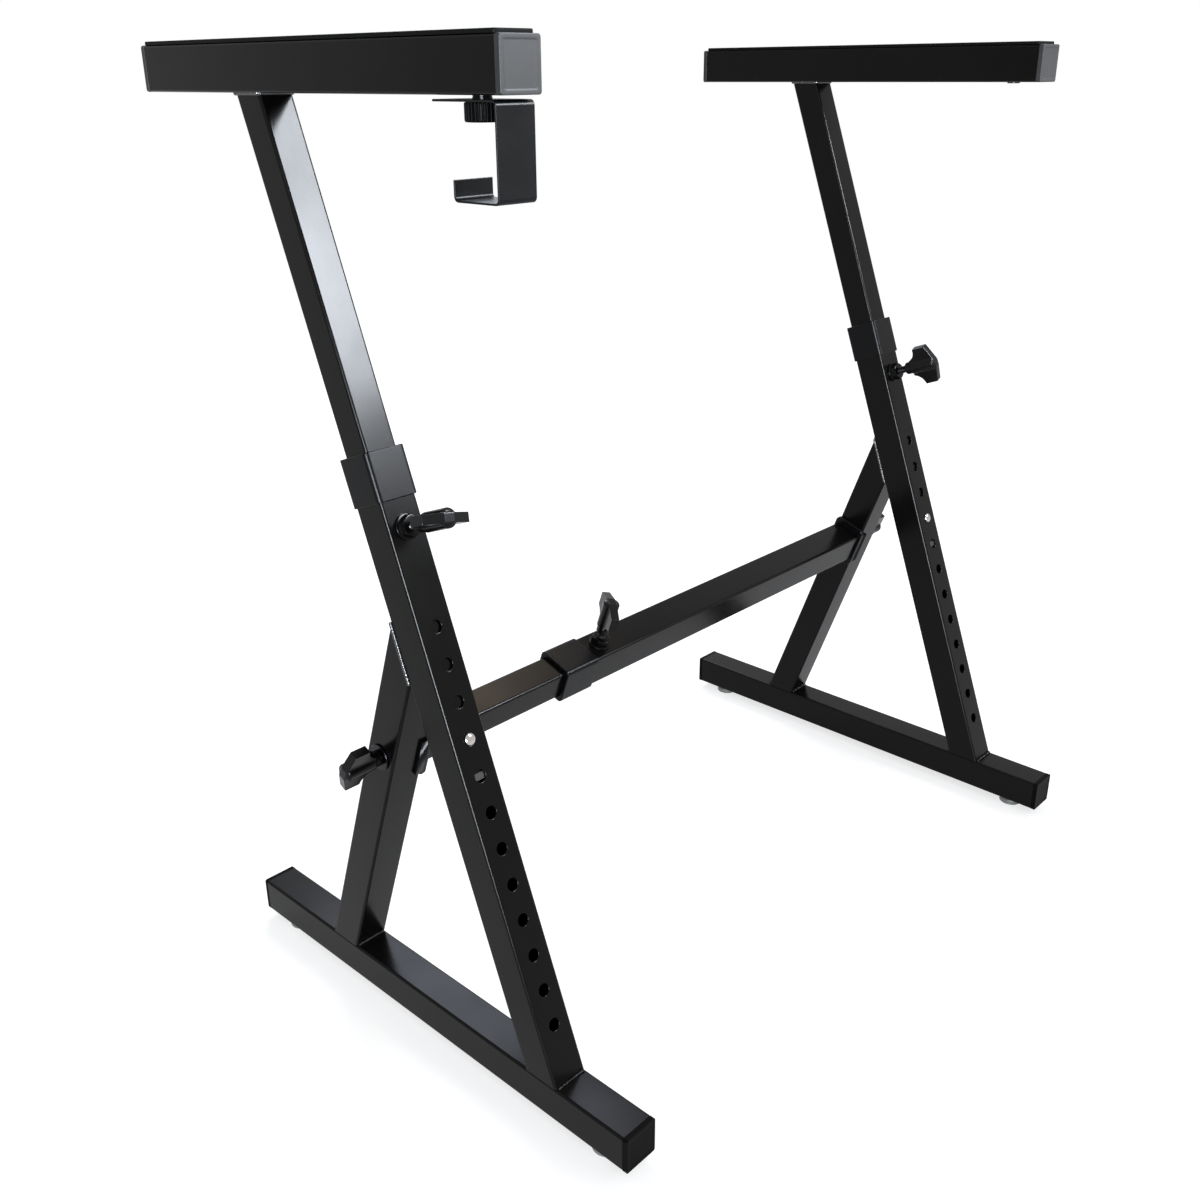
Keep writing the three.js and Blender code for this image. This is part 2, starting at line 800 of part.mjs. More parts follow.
function buildPost(side, leg) {
  const roof = block(2 * reachPastCut, 4 * reachPastCut, 2 * reachPastCut)
    .translate(0, 0, -pieceGap)
    .rotateX(legTilt)
    .translate(0, 0, postTop);
  const tube = squareTube(innerTubeSize, tubeRound, postTop + reachPastCut - postBottom)
    .translate(0, 0, postBottom);
  const depth = 2 * (tubeWall + slideClearance);
  const trimmed = cut(tube, roof, frontBore(buttonStation, holeRadius, depth));
  const button = outwardMount(buttonStation);
  button.add(piece(`${side}_snap_button`, snapButton(), chrome()));
  leg.add(
    piece(`${side}_post_tube`, join(trimmed, postBead()), powderCoat()),
    piece(`${side}_post_guide`, guidePlug().translate(0, 0, postBottom), plastic()),
    piece(`${side}_snap_spring`, snapSpring(), springSteel()),
    button,
  );
}

function armPad() {
  const width = tubeSize - 2 * padSideInset;
  const length = armFrontReach + armRearReach - 2 * capFlange;
  return loft([
    { outline: roundedOutline(width, length, tubeRound), height: 0 },
    { outline: roundedOutline(width, length, tubeRound), height: padThickness - padBevel },
    {
      outline: roundedOutline(width - 2 * padBevel, length - 2 * padBevel, tubeRound),
      height: padThickness,
    },
  ]).translate(0, capFlange + length / 2, tubeSize);
}

// Threaded insert, its flange under z = 0 and its body up through the wall
function armInsert() {
  return turned([
    [hookBoreRadius, -insertFlangeThickness],
    [insertFlangeRadius, -insertFlangeThickness],
    [insertFlangeRadius, 0],
    [insertBodyRadius, 0],
    [insertBodyRadius, insertLength],
    [hookBoreRadius, insertLength],
    [hookBoreRadius, -insertFlangeThickness],
  ]);
}

function buildArm(side, frame) {
  const length = armFrontReach + armRearReach;
  const arm = groupAt(0, armY - armFrontReach, deckHeight + armRise);
  const insertBore = rod(insertBodyRadius + pieceGap, tubeWall + 2 * cutOverrun)
    .translate(0, insertInset, -cutOverrun);
  arm.add(
    piece(`${side}_arm_tube`, cut(levelTube(length), insertBore), powderCoat()),
    ...endCaps(`${side}_arm`, length),
    piece(`${side}_arm_pad`, armPad(), rubber()),
    piece(`${side}_arm_insert`, armInsert().translate(0, insertInset, 0), blackZinc()),
  );
  frame.add(arm);
  return arm;
}

// Bent strap: top plate, front plate, lower lip and its upturned end
function hookStrap() {
  const topZ = -strapThickness / 2;
  const frontY = -strapFrontReach + strapThickness / 2;
  const lipZ = -strapDrop + strapThickness / 2;
  const lipY = frontY + strapLipReach;
  const corners = [
    new THREE.Vector2(strapRearReach, topZ),
    new THREE.Vector2(frontY, topZ),
    new THREE.Vector2(frontY, lipZ),
    new THREE.Vector2(lipY, lipZ),
    new THREE.Vector2(lipY, lipZ + strapLipRise),
  ];
  const sheet = bentSheet(roundedPath(corners, strapBendRadius), strapThickness, strapWidth);
  const bore = rod(hookBoreRadius, 2 * strapThickness).translate(0, 0, -1.5 * strapThickness);
  return cut(sheet, bore);
}

function hookSpacer() {
  return turned([
    [hookBoreRadius, -spacerHeight],
    [spacerRadius, -spacerHeight],
    [spacerWaistRadius, -spacerHeight / 2],
    [spacerRadius, 0],
    [hookBoreRadius, 0],
    [hookBoreRadius, -spacerHeight],
  ]);
}

function flutedOutline(radius) {
  const points = [];
  for (let step = 0; step < 2 * fluteCount; step += 1) {
    const angle = Math.PI * step / fluteCount;
    const reach = step % 2 ? radius - fluteDepth : radius;
    points.push(new THREE.Vector2(reach * Math.cos(angle), reach * Math.sin(angle)));
  }
  return points;
}

// Fluted thumb knob under z = 0, with a blind bore for its screw
function hookKnob() {
  const depth = hookKnobHeight;
  const body = loft([
    { outline: flutedOutline(hookKnobRadius - hookKnobBevel), height: -depth },
    { outline: flutedOutline(hookKnobRadius), height: hookKnobBevel - depth },
    { outline: flutedOutline(hookKnobRadius), height: -hookKnobBevel },
    { outline: flutedOutline(hookKnobRadius - hookKnobBevel), height: 0 },
  ]);
  const bore = rod(hookBoreRadius, depth).translate(0, 0, hookKnobBevel * 2 - depth);
  return cut(body, bore);
}

function buildHook(arm) {
  const spacerTop = -insertFlangeThickness;
  const strapTop = spacerTop - spacerHeight;
  const knobTop = strapTop - strapThickness - pieceGap;
  const screwFoot = knobTop - hookKnobHeight + 2 * hookKnobBevel + pieceGap;
  const hook = groupAt(0, insertInset, 0);
  hook.add(
    piece("hook_spacer", hookSpacer().translate(0, 0, spacerTop), powderCoat()),
    piece("hook_strap", hookStrap().translate(0, 0, strapTop), powderCoat()),
    piece("hook_thumb_knob", hookKnob().translate(0, 0, knobTop), plastic()),
    piece(
      "hook_screw",
      rod(hookScrewRadius, hookScrewRise - screwFoot).translate(0, 0, screwFoot),
      blackZinc(),
    ),
  );
  arm.add(hook);
}

// Moulded saddle between the crossbar's end and the brace. +X points into the
// stand, Z runs along the brace and x = 0 is the brace's middle.
function barSaddle(boreSize) {
  const width = tubeSize + 2 * (pieceGap + lipThickness);
  const braceFace = halfTube + pieceGap;
  const taperShare = 0.45;
  const base = loft([
    { outline: chamferedOutline(saddleLength, width, saddleChamfer), height: 0 },
    {
      outline: chamferedOutline(saddleLength, width, saddleChamfer),
      height: saddleThickness * taperShare,
    },
    {
      outline: chamferedOutline(
        saddleLength - 2 * saddleTaper,
        width - 2 * saddleTaper,
        saddleChamfer,
      ),
      height: saddleThickness,
    },
  ]).rotateY(Math.PI / 2);
  const plug = squareBar(boreSize - 2 * pieceGap, innerTubeRound, saddlePlugLength + pieceGap)
    .translate(0, 0, saddleThickness - pieceGap)
    .rotateY(Math.PI / 2);
  const lips = [1, -1].map((sideY) => (
    block(lipDepth + 2 * pieceGap, lipThickness, lipLength)
      .translate(
        pieceGap - lipDepth / 2,
        sideY * (halfTube + pieceGap + lipThickness / 2),
        -lipLength / 2,
      )
  ));
  const bore = rod(boltHoleRadius, 4 * saddlePlugLength)
    .translate(0, 0, -2 * saddlePlugLength)
    .rotateY(Math.PI / 2);
  return cut(join(base, plug, ...lips), bore).translate(braceFace, 0, 0);
}

function buildBarEnd(side, frame, boreSize) {
  const end = groupAt(0, barY, deckHeight + barRise);
  end.rotation.x = braceTilt;
  const facing = groupAt(0, 0, 0);
  facing.rotation.z = side === "left" ? 0 : Math.PI;
  const washerFoot = halfTube + pieceGap;
  const hubFoot = washerFoot + washerThickness + pieceGap;
  const screwEnd = halfTube + saddleThickness + saddlePlugLength - barScrewSetback;
  const outward = groupAt(0, 0, 0);
  outward.rotation.y = -Math.PI / 2;
  const knob = groupAt(0, 0, hubFoot);
  knob.rotation.z = THREE.MathUtils.degToRad(wingTurnDegrees[`${side}_bar`]);
  knob.add(piece(`${side}_bar_knob`, wingKnob(), plastic()));
  outward.add(
    piece(
      `${side}_bar_washer`,
      ring(boltHoleRadius, washerRadius, washerFoot, washerFoot + washerThickness),
      blackZinc(),
    ),
    piece(
      `${side}_bar_screw`,
      rod(screwRadius, screwEnd + hubFoot + studDepth - pieceGap).translate(0, 0, -screwEnd),
      blackZinc(),
    ),
    knob,
  );
  facing.add(piece(`${side}_bar_saddle`, barSaddle(boreSize), plastic()), outward);
  end.add(facing);
  frame.add(end);
}

function alongX(geometry, fromX) {
  return geometry.rotateY(Math.PI / 2).translate(fromX, 0, 0);
}

function buildCrossbar(stand) {
  const bar = groupAt(0, barY, deckHeight + barRise);
  bar.rotation.x = braceTilt;
  const collarFarX = barCollarX - barCollarLength;
  const outerStart = collarFarX + collarEnd + pieceGap;
  const widthKnobX = barCollarX + widthKnobOffset;
  const clampBore = rod(boltHoleRadius + pieceGap, tubeWall + slideClearance + cutOverrun)
    .translate(widthKnobX, 0, halfTube - tubeWall - slideClearance);
  const outerTube = alongX(squareTube(tubeSize, tubeRound, barEndX - outerStart), outerStart);
  const clamp = groupAt(widthKnobX, 0, halfTube);
  buildClamp(
    { nut: "width_nut", screw: "width_screw", knob: "width_knob" },
    clamp,
    widthKnobStandoff,
    wingTurnDegrees.width,
  );
  bar.add(
    piece(
      "crossbar_inner_tube",
      alongX(squareTube(innerTubeSize, tubeRound, innerBarEndX + barEndX), -barEndX),
      powderCoat(),
    ),
    piece("crossbar_outer_tube", cut(outerTube, clampBore), powderCoat()),
    piece(
      "crossbar_collar",
      alongX(collar(barCollarLength).rotateX(Math.PI), barCollarX),
      plastic(),
    ),
    piece(
      "crossbar_guide",
      alongX(guidePlug().rotateX(Math.PI), innerBarEndX),
      plastic(),
    ),
    clamp,
  );
  stand.add(bar);
}

function buildFrame(side, stand) {
  const frame = groupAt(side === "left" ? -frameSpacing / 2 : frameSpacing / 2, 0, 0);
  const leg = groupAt(0, legFootInset, deckHeight);
  leg.rotation.x = -legTilt;
  leg.updateMatrix();
  const brace = groupAt(0, braceFootY, deckHeight);
  brace.rotation.x = braceTilt;
  brace.updateMatrix();
  buildFoot(side, frame);
  buildLeg(side, leg, brace);
  buildPost(side, leg);
  buildBrace(side, brace, leg);
  const clamp = outwardMount(heightKnobStation);
  buildClamp(
    { nut: `${side}_height_nut`, screw: `${side}_height_screw`, knob: `${side}_height_knob` },
    clamp,
    heightKnobStandoff,
    wingTurnDegrees[`${side}_height`],
  );
  leg.add(clamp);
  frame.add(leg, brace);
  const boreSize = (side === "left" ? innerTubeSize : tubeSize) - 2 * tubeWall;
  buildBarEnd(side, frame, boreSize);
  const arm = buildArm(side, frame);
  if (side === "left") buildHook(arm);
  stand.add(frame);
}

const stand = groupAt(0, -standDepth / 2, 0);
buildFrame("left", stand);
buildFrame("right", stand);
buildCrossbar(stand);

export default stand;
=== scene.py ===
# %% [markdown]
# Keyboard stand with Z-shaped side frames
#
# Two side frames of square steel tube are joined by a crossbar that telescopes. A post slides in
# each front leg and carries a level arm with a rubber strip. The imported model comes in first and
# stays where it is: it fixes every place and size. This lesson then makes a finer surface for each
# piece that shows, and gives every piece its finish.

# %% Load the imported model
import math
import random

import bpy
from mathutils import Matrix, Vector


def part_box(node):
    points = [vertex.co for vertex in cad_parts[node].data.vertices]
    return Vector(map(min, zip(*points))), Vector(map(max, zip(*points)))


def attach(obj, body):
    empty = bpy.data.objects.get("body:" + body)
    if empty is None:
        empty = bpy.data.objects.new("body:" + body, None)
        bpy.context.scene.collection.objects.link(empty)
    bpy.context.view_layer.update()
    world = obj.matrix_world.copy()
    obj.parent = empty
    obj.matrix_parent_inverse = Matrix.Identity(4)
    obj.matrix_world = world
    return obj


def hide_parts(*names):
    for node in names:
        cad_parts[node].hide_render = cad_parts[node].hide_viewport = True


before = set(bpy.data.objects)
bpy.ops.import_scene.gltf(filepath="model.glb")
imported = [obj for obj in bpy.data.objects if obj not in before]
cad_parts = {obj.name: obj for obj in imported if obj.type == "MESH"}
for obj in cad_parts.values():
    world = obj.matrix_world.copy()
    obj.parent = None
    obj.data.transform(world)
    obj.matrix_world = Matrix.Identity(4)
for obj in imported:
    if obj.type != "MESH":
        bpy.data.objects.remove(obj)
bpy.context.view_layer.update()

# %% [markdown]
# The stand is cut from two sizes of square tube, so a few lengths give nearly every shape. They are
# written once, in millimetres times MM, because Blender works in metres.

# %% Sizes of the tubes and their tilt
MM = 0.001
TUBE = 35 * MM
INNER_TUBE = 30 * MM
WALL = 1.5 * MM
CORNER = 2.5 * MM
CORNER_STEPS = 6
LEG_TILT = math.radians(20.6)
BRACE_TILT = math.radians(19.6)
OVERRUN = 20 * MM
SLAB = 1.0
print(f"outer tube {TUBE / MM:.0f} mm, inner tube {INNER_TUBE / MM:.0f} mm")

# %% Places of the side frames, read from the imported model
LEG_FROM_CAP = 98.5 * MM
BRACE_BEHIND_LEG = 275.5 * MM
foot_low, foot_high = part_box("left_foot_tube")
arm_low, arm_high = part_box("left_arm_tube")
cap_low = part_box("left_foot_cap_front")[0]
DECK = foot_high.z
LEG_FOOT = cap_low.y + LEG_FROM_CAP
BRACE_FOOT = LEG_FOOT + BRACE_BEHIND_LEG
ARM_UNDERSIDE = arm_low.z
SIDES = {}
for side in ("left", "right"):
    low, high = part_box(f"{side}_foot_tube")
    SIDES[side] = (low.x + high.x) / 2
print(f"frames at x = {SIDES['left']:.3f} and {SIDES['right']:.3f}, deck at {DECK:.3f}")

# %% [markdown]
# The leg, the brace and the crossbar are easier to model upright at the origin. Each gets a place:
# a matrix that leans an upright piece back and carries it to its foot. Heights along a tilted tube
# are then plain numbers, as on a cutting list.

# %% Places of the tilted tubes
BAR_STATION = 254 * MM
leg_place = Matrix.Translation((0, LEG_FOOT, DECK)) @ Matrix.Rotation(-LEG_TILT, 4, "X")
brace_place = Matrix.Translation((0, BRACE_FOOT, DECK)) @ Matrix.Rotation(BRACE_TILT, 4, "X")
bar_place = brace_place @ Matrix.Translation((0, 0, BAR_STATION))
ALONG_X = Matrix.Rotation(math.pi / 2, 4, "Y")
OUT_OF_LEG = Matrix.Translation((0, -TUBE / 2, 0)) @ Matrix.Rotation(math.pi / 2, 4, "X")
print("crossbar middle at", [round(v, 4) for v in bar_place.translation])


# %% Helpers for one piece at a time
def only(piece):
    """Selects this piece and nothing else."""
    bpy.ops.object.select_all(action="DESELECT")
    piece.select_set(True)
    bpy.context.view_layer.objects.active = piece
    return piece


def fresh(name):
    """The primitive just added, named, with its size and place in its mesh."""
    piece = only(bpy.context.active_object)
    piece.name = piece.data.name = name
    bpy.ops.object.transform_apply(location=True, rotation=True, scale=True)
    return piece


def settle(piece, place):
    """Carries a piece to its place and leaves its object at the origin."""
    piece.matrix_world = place
    only(piece)
    bpy.ops.object.transform_apply(location=True, rotation=True, scale=True)
    return piece


# %% Helpers that shape
def pick(piece, kind, rule):
    """Opens edit mode with the faces or edges that pass the rule selected."""
    only(piece)
    bpy.ops.object.mode_set(mode="EDIT")
    bpy.ops.mesh.select_mode(type=kind)
    bpy.ops.mesh.select_all(action="DESELECT")
    bpy.ops.object.mode_set(mode="OBJECT")
    points = [v.co for v in piece.data.vertices]
    if kind == "FACE":
        for face in piece.data.polygons:
            face.select = rule(face.center, face.normal)
    else:
        for edge in piece.data.edges:
            start, end = (points[i] for i in edge.vertices)
            edge.select = rule((start + end) / 2, (end - start).normalized())
    bpy.ops.object.mode_set(mode="EDIT")


def done():
    bpy.ops.object.mode_set(mode="OBJECT")


def apply(piece, kind, **settings):
    """Adds one modifier, sets it and applies it."""
    only(piece)
    step = piece.modifiers.new(kind.title(), kind)
    for name, value in settings.items():
        setattr(step, name, value)
    bpy.ops.object.modifier_apply(modifier=step.name)
    return piece


def cut(piece, *cutters, operation="DIFFERENCE"):
    """Cuts a piece by others, which are used up."""
    for cutter in cutters:
        apply(piece, "BOOLEAN", operation=operation, object=cutter, solver="EXACT")
        bpy.data.objects.remove(cutter)
    return piece


def joined(name, parts):
    bpy.ops.object.select_all(action="DESELECT")
    for part in parts:
        part.select_set(True)
    bpy.context.view_layer.objects.active = parts[0]
    bpy.ops.object.join()
    parts[0].name = parts[0].data.name = name
    return parts[0]


def smooth(piece, degrees=30):
    """Smooth shading that keeps flat faces flat and real corners crisp."""
    only(piece)
    bpy.ops.object.shade_smooth_by_angle(angle=math.radians(degrees))
    return apply(piece, "WEIGHTED_NORMAL", keep_sharp=True)


def copied(piece, name, place):
    """A copy with its own mesh, carried to its place."""
    twin = piece.copy()
    twin.data = piece.data.copy()
    twin.name = twin.data.name = name
    bpy.context.scene.collection.objects.link(twin)
    return settle(twin, place)


def at_side(side):
    return Matrix.Translation((SIDES[side], 0, 0))


def leg_face(side, station):
    """A place on the front of a leg, with Z pointing out of it."""
    return at_side(side) @ leg_place @ Matrix.Translation((0, 0, station)) @ OUT_OF_LEG


# %% [markdown]
# Most turned pieces, such as glides, nuts and the snap button, are one circle that is extruded and
# resized step by step. The rings are pairs of radius and height.

# %% Square bars and turned pieces
def square_bar(name, size, bottom, top, corner=CORNER):
    """An upright square bar with rounded edges."""
    bpy.ops.mesh.primitive_cube_add(size=1, location=(0, 0, (bottom + top) / 2),
                                    scale=(size, size, top - bottom))
    bar = fresh(name)
    pick(bar, "EDGE", lambda middle, along: abs(along.z) > 0.9)
    bpy.ops.mesh.bevel(offset=corner, segments=CORNER_STEPS, affect="EDGES")
    done()
    return bar


def square_tube(name, size, bottom, top):
    bar = square_bar(name, size, bottom, top)
    bore = square_bar("bore", size - 2 * WALL, bottom - OVERRUN, top + OVERRUN, CORNER - WALL)
    return cut(bar, bore)


def raised(piece, rings):
    """Raises a flat outline through rings of (radius, height), resized at each."""
    (radius, height), *rest = rings
    bpy.ops.object.mode_set(mode="EDIT")
    bpy.ops.mesh.select_mode(type="FACE")
    bpy.ops.mesh.select_all(action="SELECT")
    for next_radius, next_height in rest:
        share = next_radius / radius
        bpy.ops.mesh.extrude_region_move(
            TRANSFORM_OT_translate={"value": (0, 0, next_height - height)})
        bpy.ops.transform.resize(value=(share, share, 1), center_override=(0, 0, next_height))
        radius, height = next_radius, next_height
    bpy.ops.mesh.select_all(action="SELECT")
    bpy.ops.mesh.normals_make_consistent(inside=False)
    done()
    return piece


def turned(name, rings, sides=48):
    """A solid of revolution on the Z axis, from rings of (radius, height)."""
    radius, height = rings[0]
    bpy.ops.mesh.primitive_circle_add(vertices=sides, radius=radius, fill_type="NGON",
                                      location=(0, 0, height))
    return raised(fresh(name), rings)


def upright(name, radius, bottom, top, sides=48):
    """A round bar that stands on the Z axis."""
    return turned(name, [(radius, bottom), (radius, top)], sides)


def squared(name, rings, corner):
    """A stepped block with rounded corners, from rings of (half width, height)."""
    half, height = rings[0]
    bpy.ops.mesh.primitive_plane_add(size=2 * half, location=(0, 0, height))
    piece = fresh(name)
    bpy.ops.object.mode_set(mode="EDIT")
    bpy.ops.mesh.select_all(action="SELECT")
    bpy.ops.mesh.bevel(offset=corner, segments=CORNER_STEPS, affect="VERTICES")
    done()
    return raised(piece, rings)


def slab_below(height, name="slab"):
    """A large block whose top face lies level at one height."""
    bpy.ops.mesh.primitive_cube_add(size=SLAB, location=(0, 0, height - SLAB / 2))
    return fresh(name)


def arc(radius, height, start, end, steps, centre_radius=0.0):
    """Rings along a quarter of a circle, for domes and rounded rims."""
    rings = []
    for step in range(steps + 1):
        angle = math.radians(start + (end - start) * step / steps)
        rings.append((centre_radius + radius * math.cos(angle), height + radius * math.sin(angle)))
    return rings


print("helpers are ready")

# %% [markdown]
# Paint, moulded plastic and rubber all have a fine skin that only shows as a soft break in the
# highlights. One node group makes it from two noises, and each material sets its own grain size
# and depth. A second group makes the faint smears that change how glossy a surface is from place
# to place.


# %% Node groups: skin and smears
def new_group(name, inputs, outputs):
    group = bpy.data.node_groups.new(name, "ShaderNodeTree")
    for label, value in inputs.items():
        socket = group.interface.new_socket(name=label, in_out="INPUT",
                                            socket_type="NodeSocketFloat")
        socket.default_value = value
    for label in outputs:
        group.interface.new_socket(name=label, in_out="OUTPUT", socket_type="NodeSocketFloat")
    return group, group.nodes.new("NodeGroupInput"), group.nodes.new("NodeGroupOutput")


def noise(nodes, links, place, scale, detail):
    made = nodes.new("ShaderNodeTexNoise")
    made.inputs["Detail"].default_value = detail
    links.new(place, made.inputs["Vector"])
    links.new(scale, made.inputs["Scale"])
    return made.outputs["Fac"]


def math_node(nodes, links, operation, first, second):
    made = nodes.new("ShaderNodeMath")
    made.operation = operation
    for socket, value in zip(made.inputs, (first, second)):
        if isinstance(value, bpy.types.NodeSocket):
            links.new(value, socket)
        else:
            socket.default_value = value
    return made.outputs["Value"]


skin, inside, out = new_group("fine skin", {"Grain": 900.0, "Coarse share": 0.4}, ["Height"])
where = skin.nodes.new("ShaderNodeTexCoord").outputs["Object"]
COARSER = 0.23
coarse_scale = math_node(skin.nodes, skin.links, "MULTIPLY", inside.outputs["Grain"], COARSER)
fine = noise(skin.nodes, skin.links, where, inside.outputs["Grain"], 3.0)
coarse = noise(skin.nodes, skin.links, where, coarse_scale, 1.0)
weighed = math_node(skin.nodes, skin.links, "MULTIPLY", coarse, inside.outputs["Coarse share"])
total = math_node(skin.nodes, skin.links, "ADD", fine, weighed)
skin.links.new(total, out.inputs["Height"])

smears, inside, out = new_group("smears", {"Size": 14.0}, ["Mask"])
where = smears.nodes.new("ShaderNodeTexCoord").outputs["Object"]
cloud = noise(smears.nodes, smears.links, where, inside.outputs["Size"], 6.0)
smears.links.new(cloud, out.inputs["Mask"])
print("groups:", skin.name, "and", smears.name)


# %% [markdown]
# Every painted, moulded or plated finish here is a Principled shader with the same three parts: a
# colour that drifts a little, a gloss that the smears change, and a bump from the skin. On the cap
# plastic the second colour is much paler and bluer, so that the smears also lay a painted sheen in
# clouds. What is the same all over a surface is set on the shader's own socket.


# %% One finish
SMEAR_RANGE = (0.3, 0.7)


def finish(name, slot, colour, drift_and_sheen, gloss, grain, depth, **constants):
    """A material whose colour, roughness and bump vary over the piece."""
    made = bpy.data.materials.new(name)
    made.use_nodes = True
    nodes, links = made.node_tree.nodes, made.node_tree.links
    shader = nodes["Principled BSDF"]
    for label, value in constants.items():
        shader.inputs[label.replace("_", " ")].default_value = value
    surface = nodes.new("ShaderNodeGroup")
    surface.node_tree = skin
    surface.inputs["Grain"].default_value = grain
    handled = nodes.new("ShaderNodeGroup")
    handled.node_tree = smears
    blend = nodes.new("ShaderNodeMix")
    blend.data_type = "RGBA"
    # The second colour is random tone on most finishes; on the cap plastic it is a paler, bluer
    # painted sheen.
    blend.inputs["A"].default_value = (*colour, 1)
    blend.inputs["B"].default_value = (*drift_and_sheen, 1)
    links.new(handled.outputs["Mask"], blend.inputs["Factor"])
    links.new(blend.outputs["Result"], shader.inputs["Base Color"])
    spread = nodes.new("ShaderNodeMapRange")
    spread.inputs["From Min"].default_value, spread.inputs["From Max"].default_value = SMEAR_RANGE
    spread.inputs["To Min"].default_value, spread.inputs["To Max"].default_value = gloss
    links.new(handled.outputs["Mask"], spread.inputs["Value"])
    links.new(spread.outputs["Result"], shader.inputs["Roughness"])
    bump = nodes.new("ShaderNodeBump")
    bump.inputs["Strength"].default_value = 1.0
    bump.inputs["Distance"].default_value = depth
    links.new(surface.outputs["Height"], bump.inputs["Height"])
    links.new(bump.outputs["Normal"], shader.inputs["Normal"])
    made["slot"] = slot
    return made


# %% The finishes of the stand
powder_coat = finish("powder_coat", "powder_coat", (0.0047, 0.0042, 0.0039),
                     (0.007, 0.0063, 0.0059), (0.18, 0.25), 1100.0, 0.000015,
                     Specular_IOR_Level=0.2, IOR=1.3)
weld_paint = finish("painted_weld", "powder_coat", (0.005, 0.0048, 0.005), (0.008, 0.0078, 0.008),
                    (0.12, 0.2), 900.0, 0.00003, Specular_IOR_Level=0.7)
strap_paint = finish("satin_paint", "powder_coat", (0.005, 0.0055, 0.007), (0.0085, 0.009, 0.011),
                     (0.28, 0.4), 1700.0, 0.00003, Specular_IOR_Level=0.1)
# The cap plastic's second colour is much paler and bluer than its first: bright clouds of painted
# sheen where the smears fall.
cap_plastic = finish("cap_plastic", "black_plastic", (0.005, 0.005, 0.0056), (0.013, 0.013, 0.015),
                     (0.44, 0.6), 2400.0, 0.00005, Specular_IOR_Level=0.35)
foot_plastic = finish("foot_cap_plastic", "black_plastic", (0.0035, 0.0032, 0.003),
                      (0.006, 0.0055, 0.005), (0.4, 0.52), 2400.0, 0.00004,
                      Specular_IOR_Level=0.05, IOR=1.3)
collar_plastic = finish("collar_plastic", "black_plastic", (0.0055, 0.0055, 0.006),
                        (0.0075, 0.0075, 0.0085), (0.25, 0.31), 2400.0, 0.00003,
                        Specular_IOR_Level=0.12, IOR=1.4)
knob_plastic = finish("knob_plastic", "black_plastic", (0.0035, 0.0035, 0.0038),
                      (0.0055, 0.0055, 0.006), (0.2, 0.28), 1500.0, 0.00002,
                      Specular_IOR_Level=0.18, IOR=1.4)
strip_rubber = finish("strip_rubber", "pad_rubber", (0.004, 0.0042, 0.0045),
                      (0.0065, 0.007, 0.0072), (0.5, 0.62), 1800.0, 0.00008,
                      Specular_IOR_Level=0.08, IOR=1.35)
glide_rubber = finish("glide_rubber", "glide_rubber", (0.28, 0.285, 0.27), (0.36, 0.365, 0.35),
                      (0.5, 0.65), 1300.0, 0.00005)
black_zinc = finish("black_zinc", "black_zinc", (0.009, 0.009, 0.01), (0.016, 0.016, 0.018),
                    (0.2, 0.3), 1600.0, 0.00002, Metallic=1.0)
chrome = finish("button_chrome", "button_chrome", (0.5, 0.48, 0.46), (0.42, 0.4, 0.38),
                (0.05, 0.1), 900.0, 0.000006, Metallic=1.0)
spring_steel = finish("spring_steel", "spring_steel", (0.3, 0.3, 0.31), (0.36, 0.36, 0.37),
                      (0.28, 0.38), 1400.0, 0.00002, Metallic=1.0)
print(len(bpy.data.materials), "finishes")


# %% Give a piece its finish, its body and the nodes it stands for
def dress(piece, material, body, *nodes):
    piece.data.materials.clear()
    piece.data.materials.append(material)
    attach(piece, body)
    if nodes:
        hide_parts(*nodes)
    return piece


# %% [markdown]
# The floor tube is a level square tube. Its long edges are rounded where the flat steel strip was
# rolled square, and that radius is what draws the bright line along it. It is modelled once and
# copied to both sides.

# %% Floor tubes
level = Matrix.Rotation(-math.pi / 2, 4, "X")
length = foot_high.y - foot_low.y
foot = square_tube("foot", TUBE, 0, length)
smooth(settle(foot, Matrix.Translation((0, foot_low.y, DECK - TUBE / 2)) @ level))
for side in SIDES:
    tube = copied(foot, f"{side}_floor_tube", at_side(side))
    dress(tube, powder_coat, f"{side}_frame", f"{side}_foot_tube")
bpy.data.objects.remove(foot)
print(f"floor tubes are {length:.3f} m long")

# %% Arms
length = arm_high.y - arm_low.y
arm = square_tube("arm", TUBE, 0, length)
smooth(settle(arm, Matrix.Translation((0, arm_low.y, ARM_UNDERSIDE + TUBE / 2)) @ level))
for side in SIDES:
    tube = copied(arm, f"{side}_level_arm", at_side(side))
    dress(tube, powder_coat, f"{side}_post", f"{side}_arm_tube")
bpy.data.objects.remove(arm)
print(f"arms are {length:.3f} m long")

# %% [markdown]
# A row of holes runs up the front of the leg. Each was drilled before painting, so its rim is
# slightly rounded and carries paint. One turned cutter has that rim: its wall flares out in an arc
# where it meets the leg's face. Twelve copies of it are joined and cut in one go.

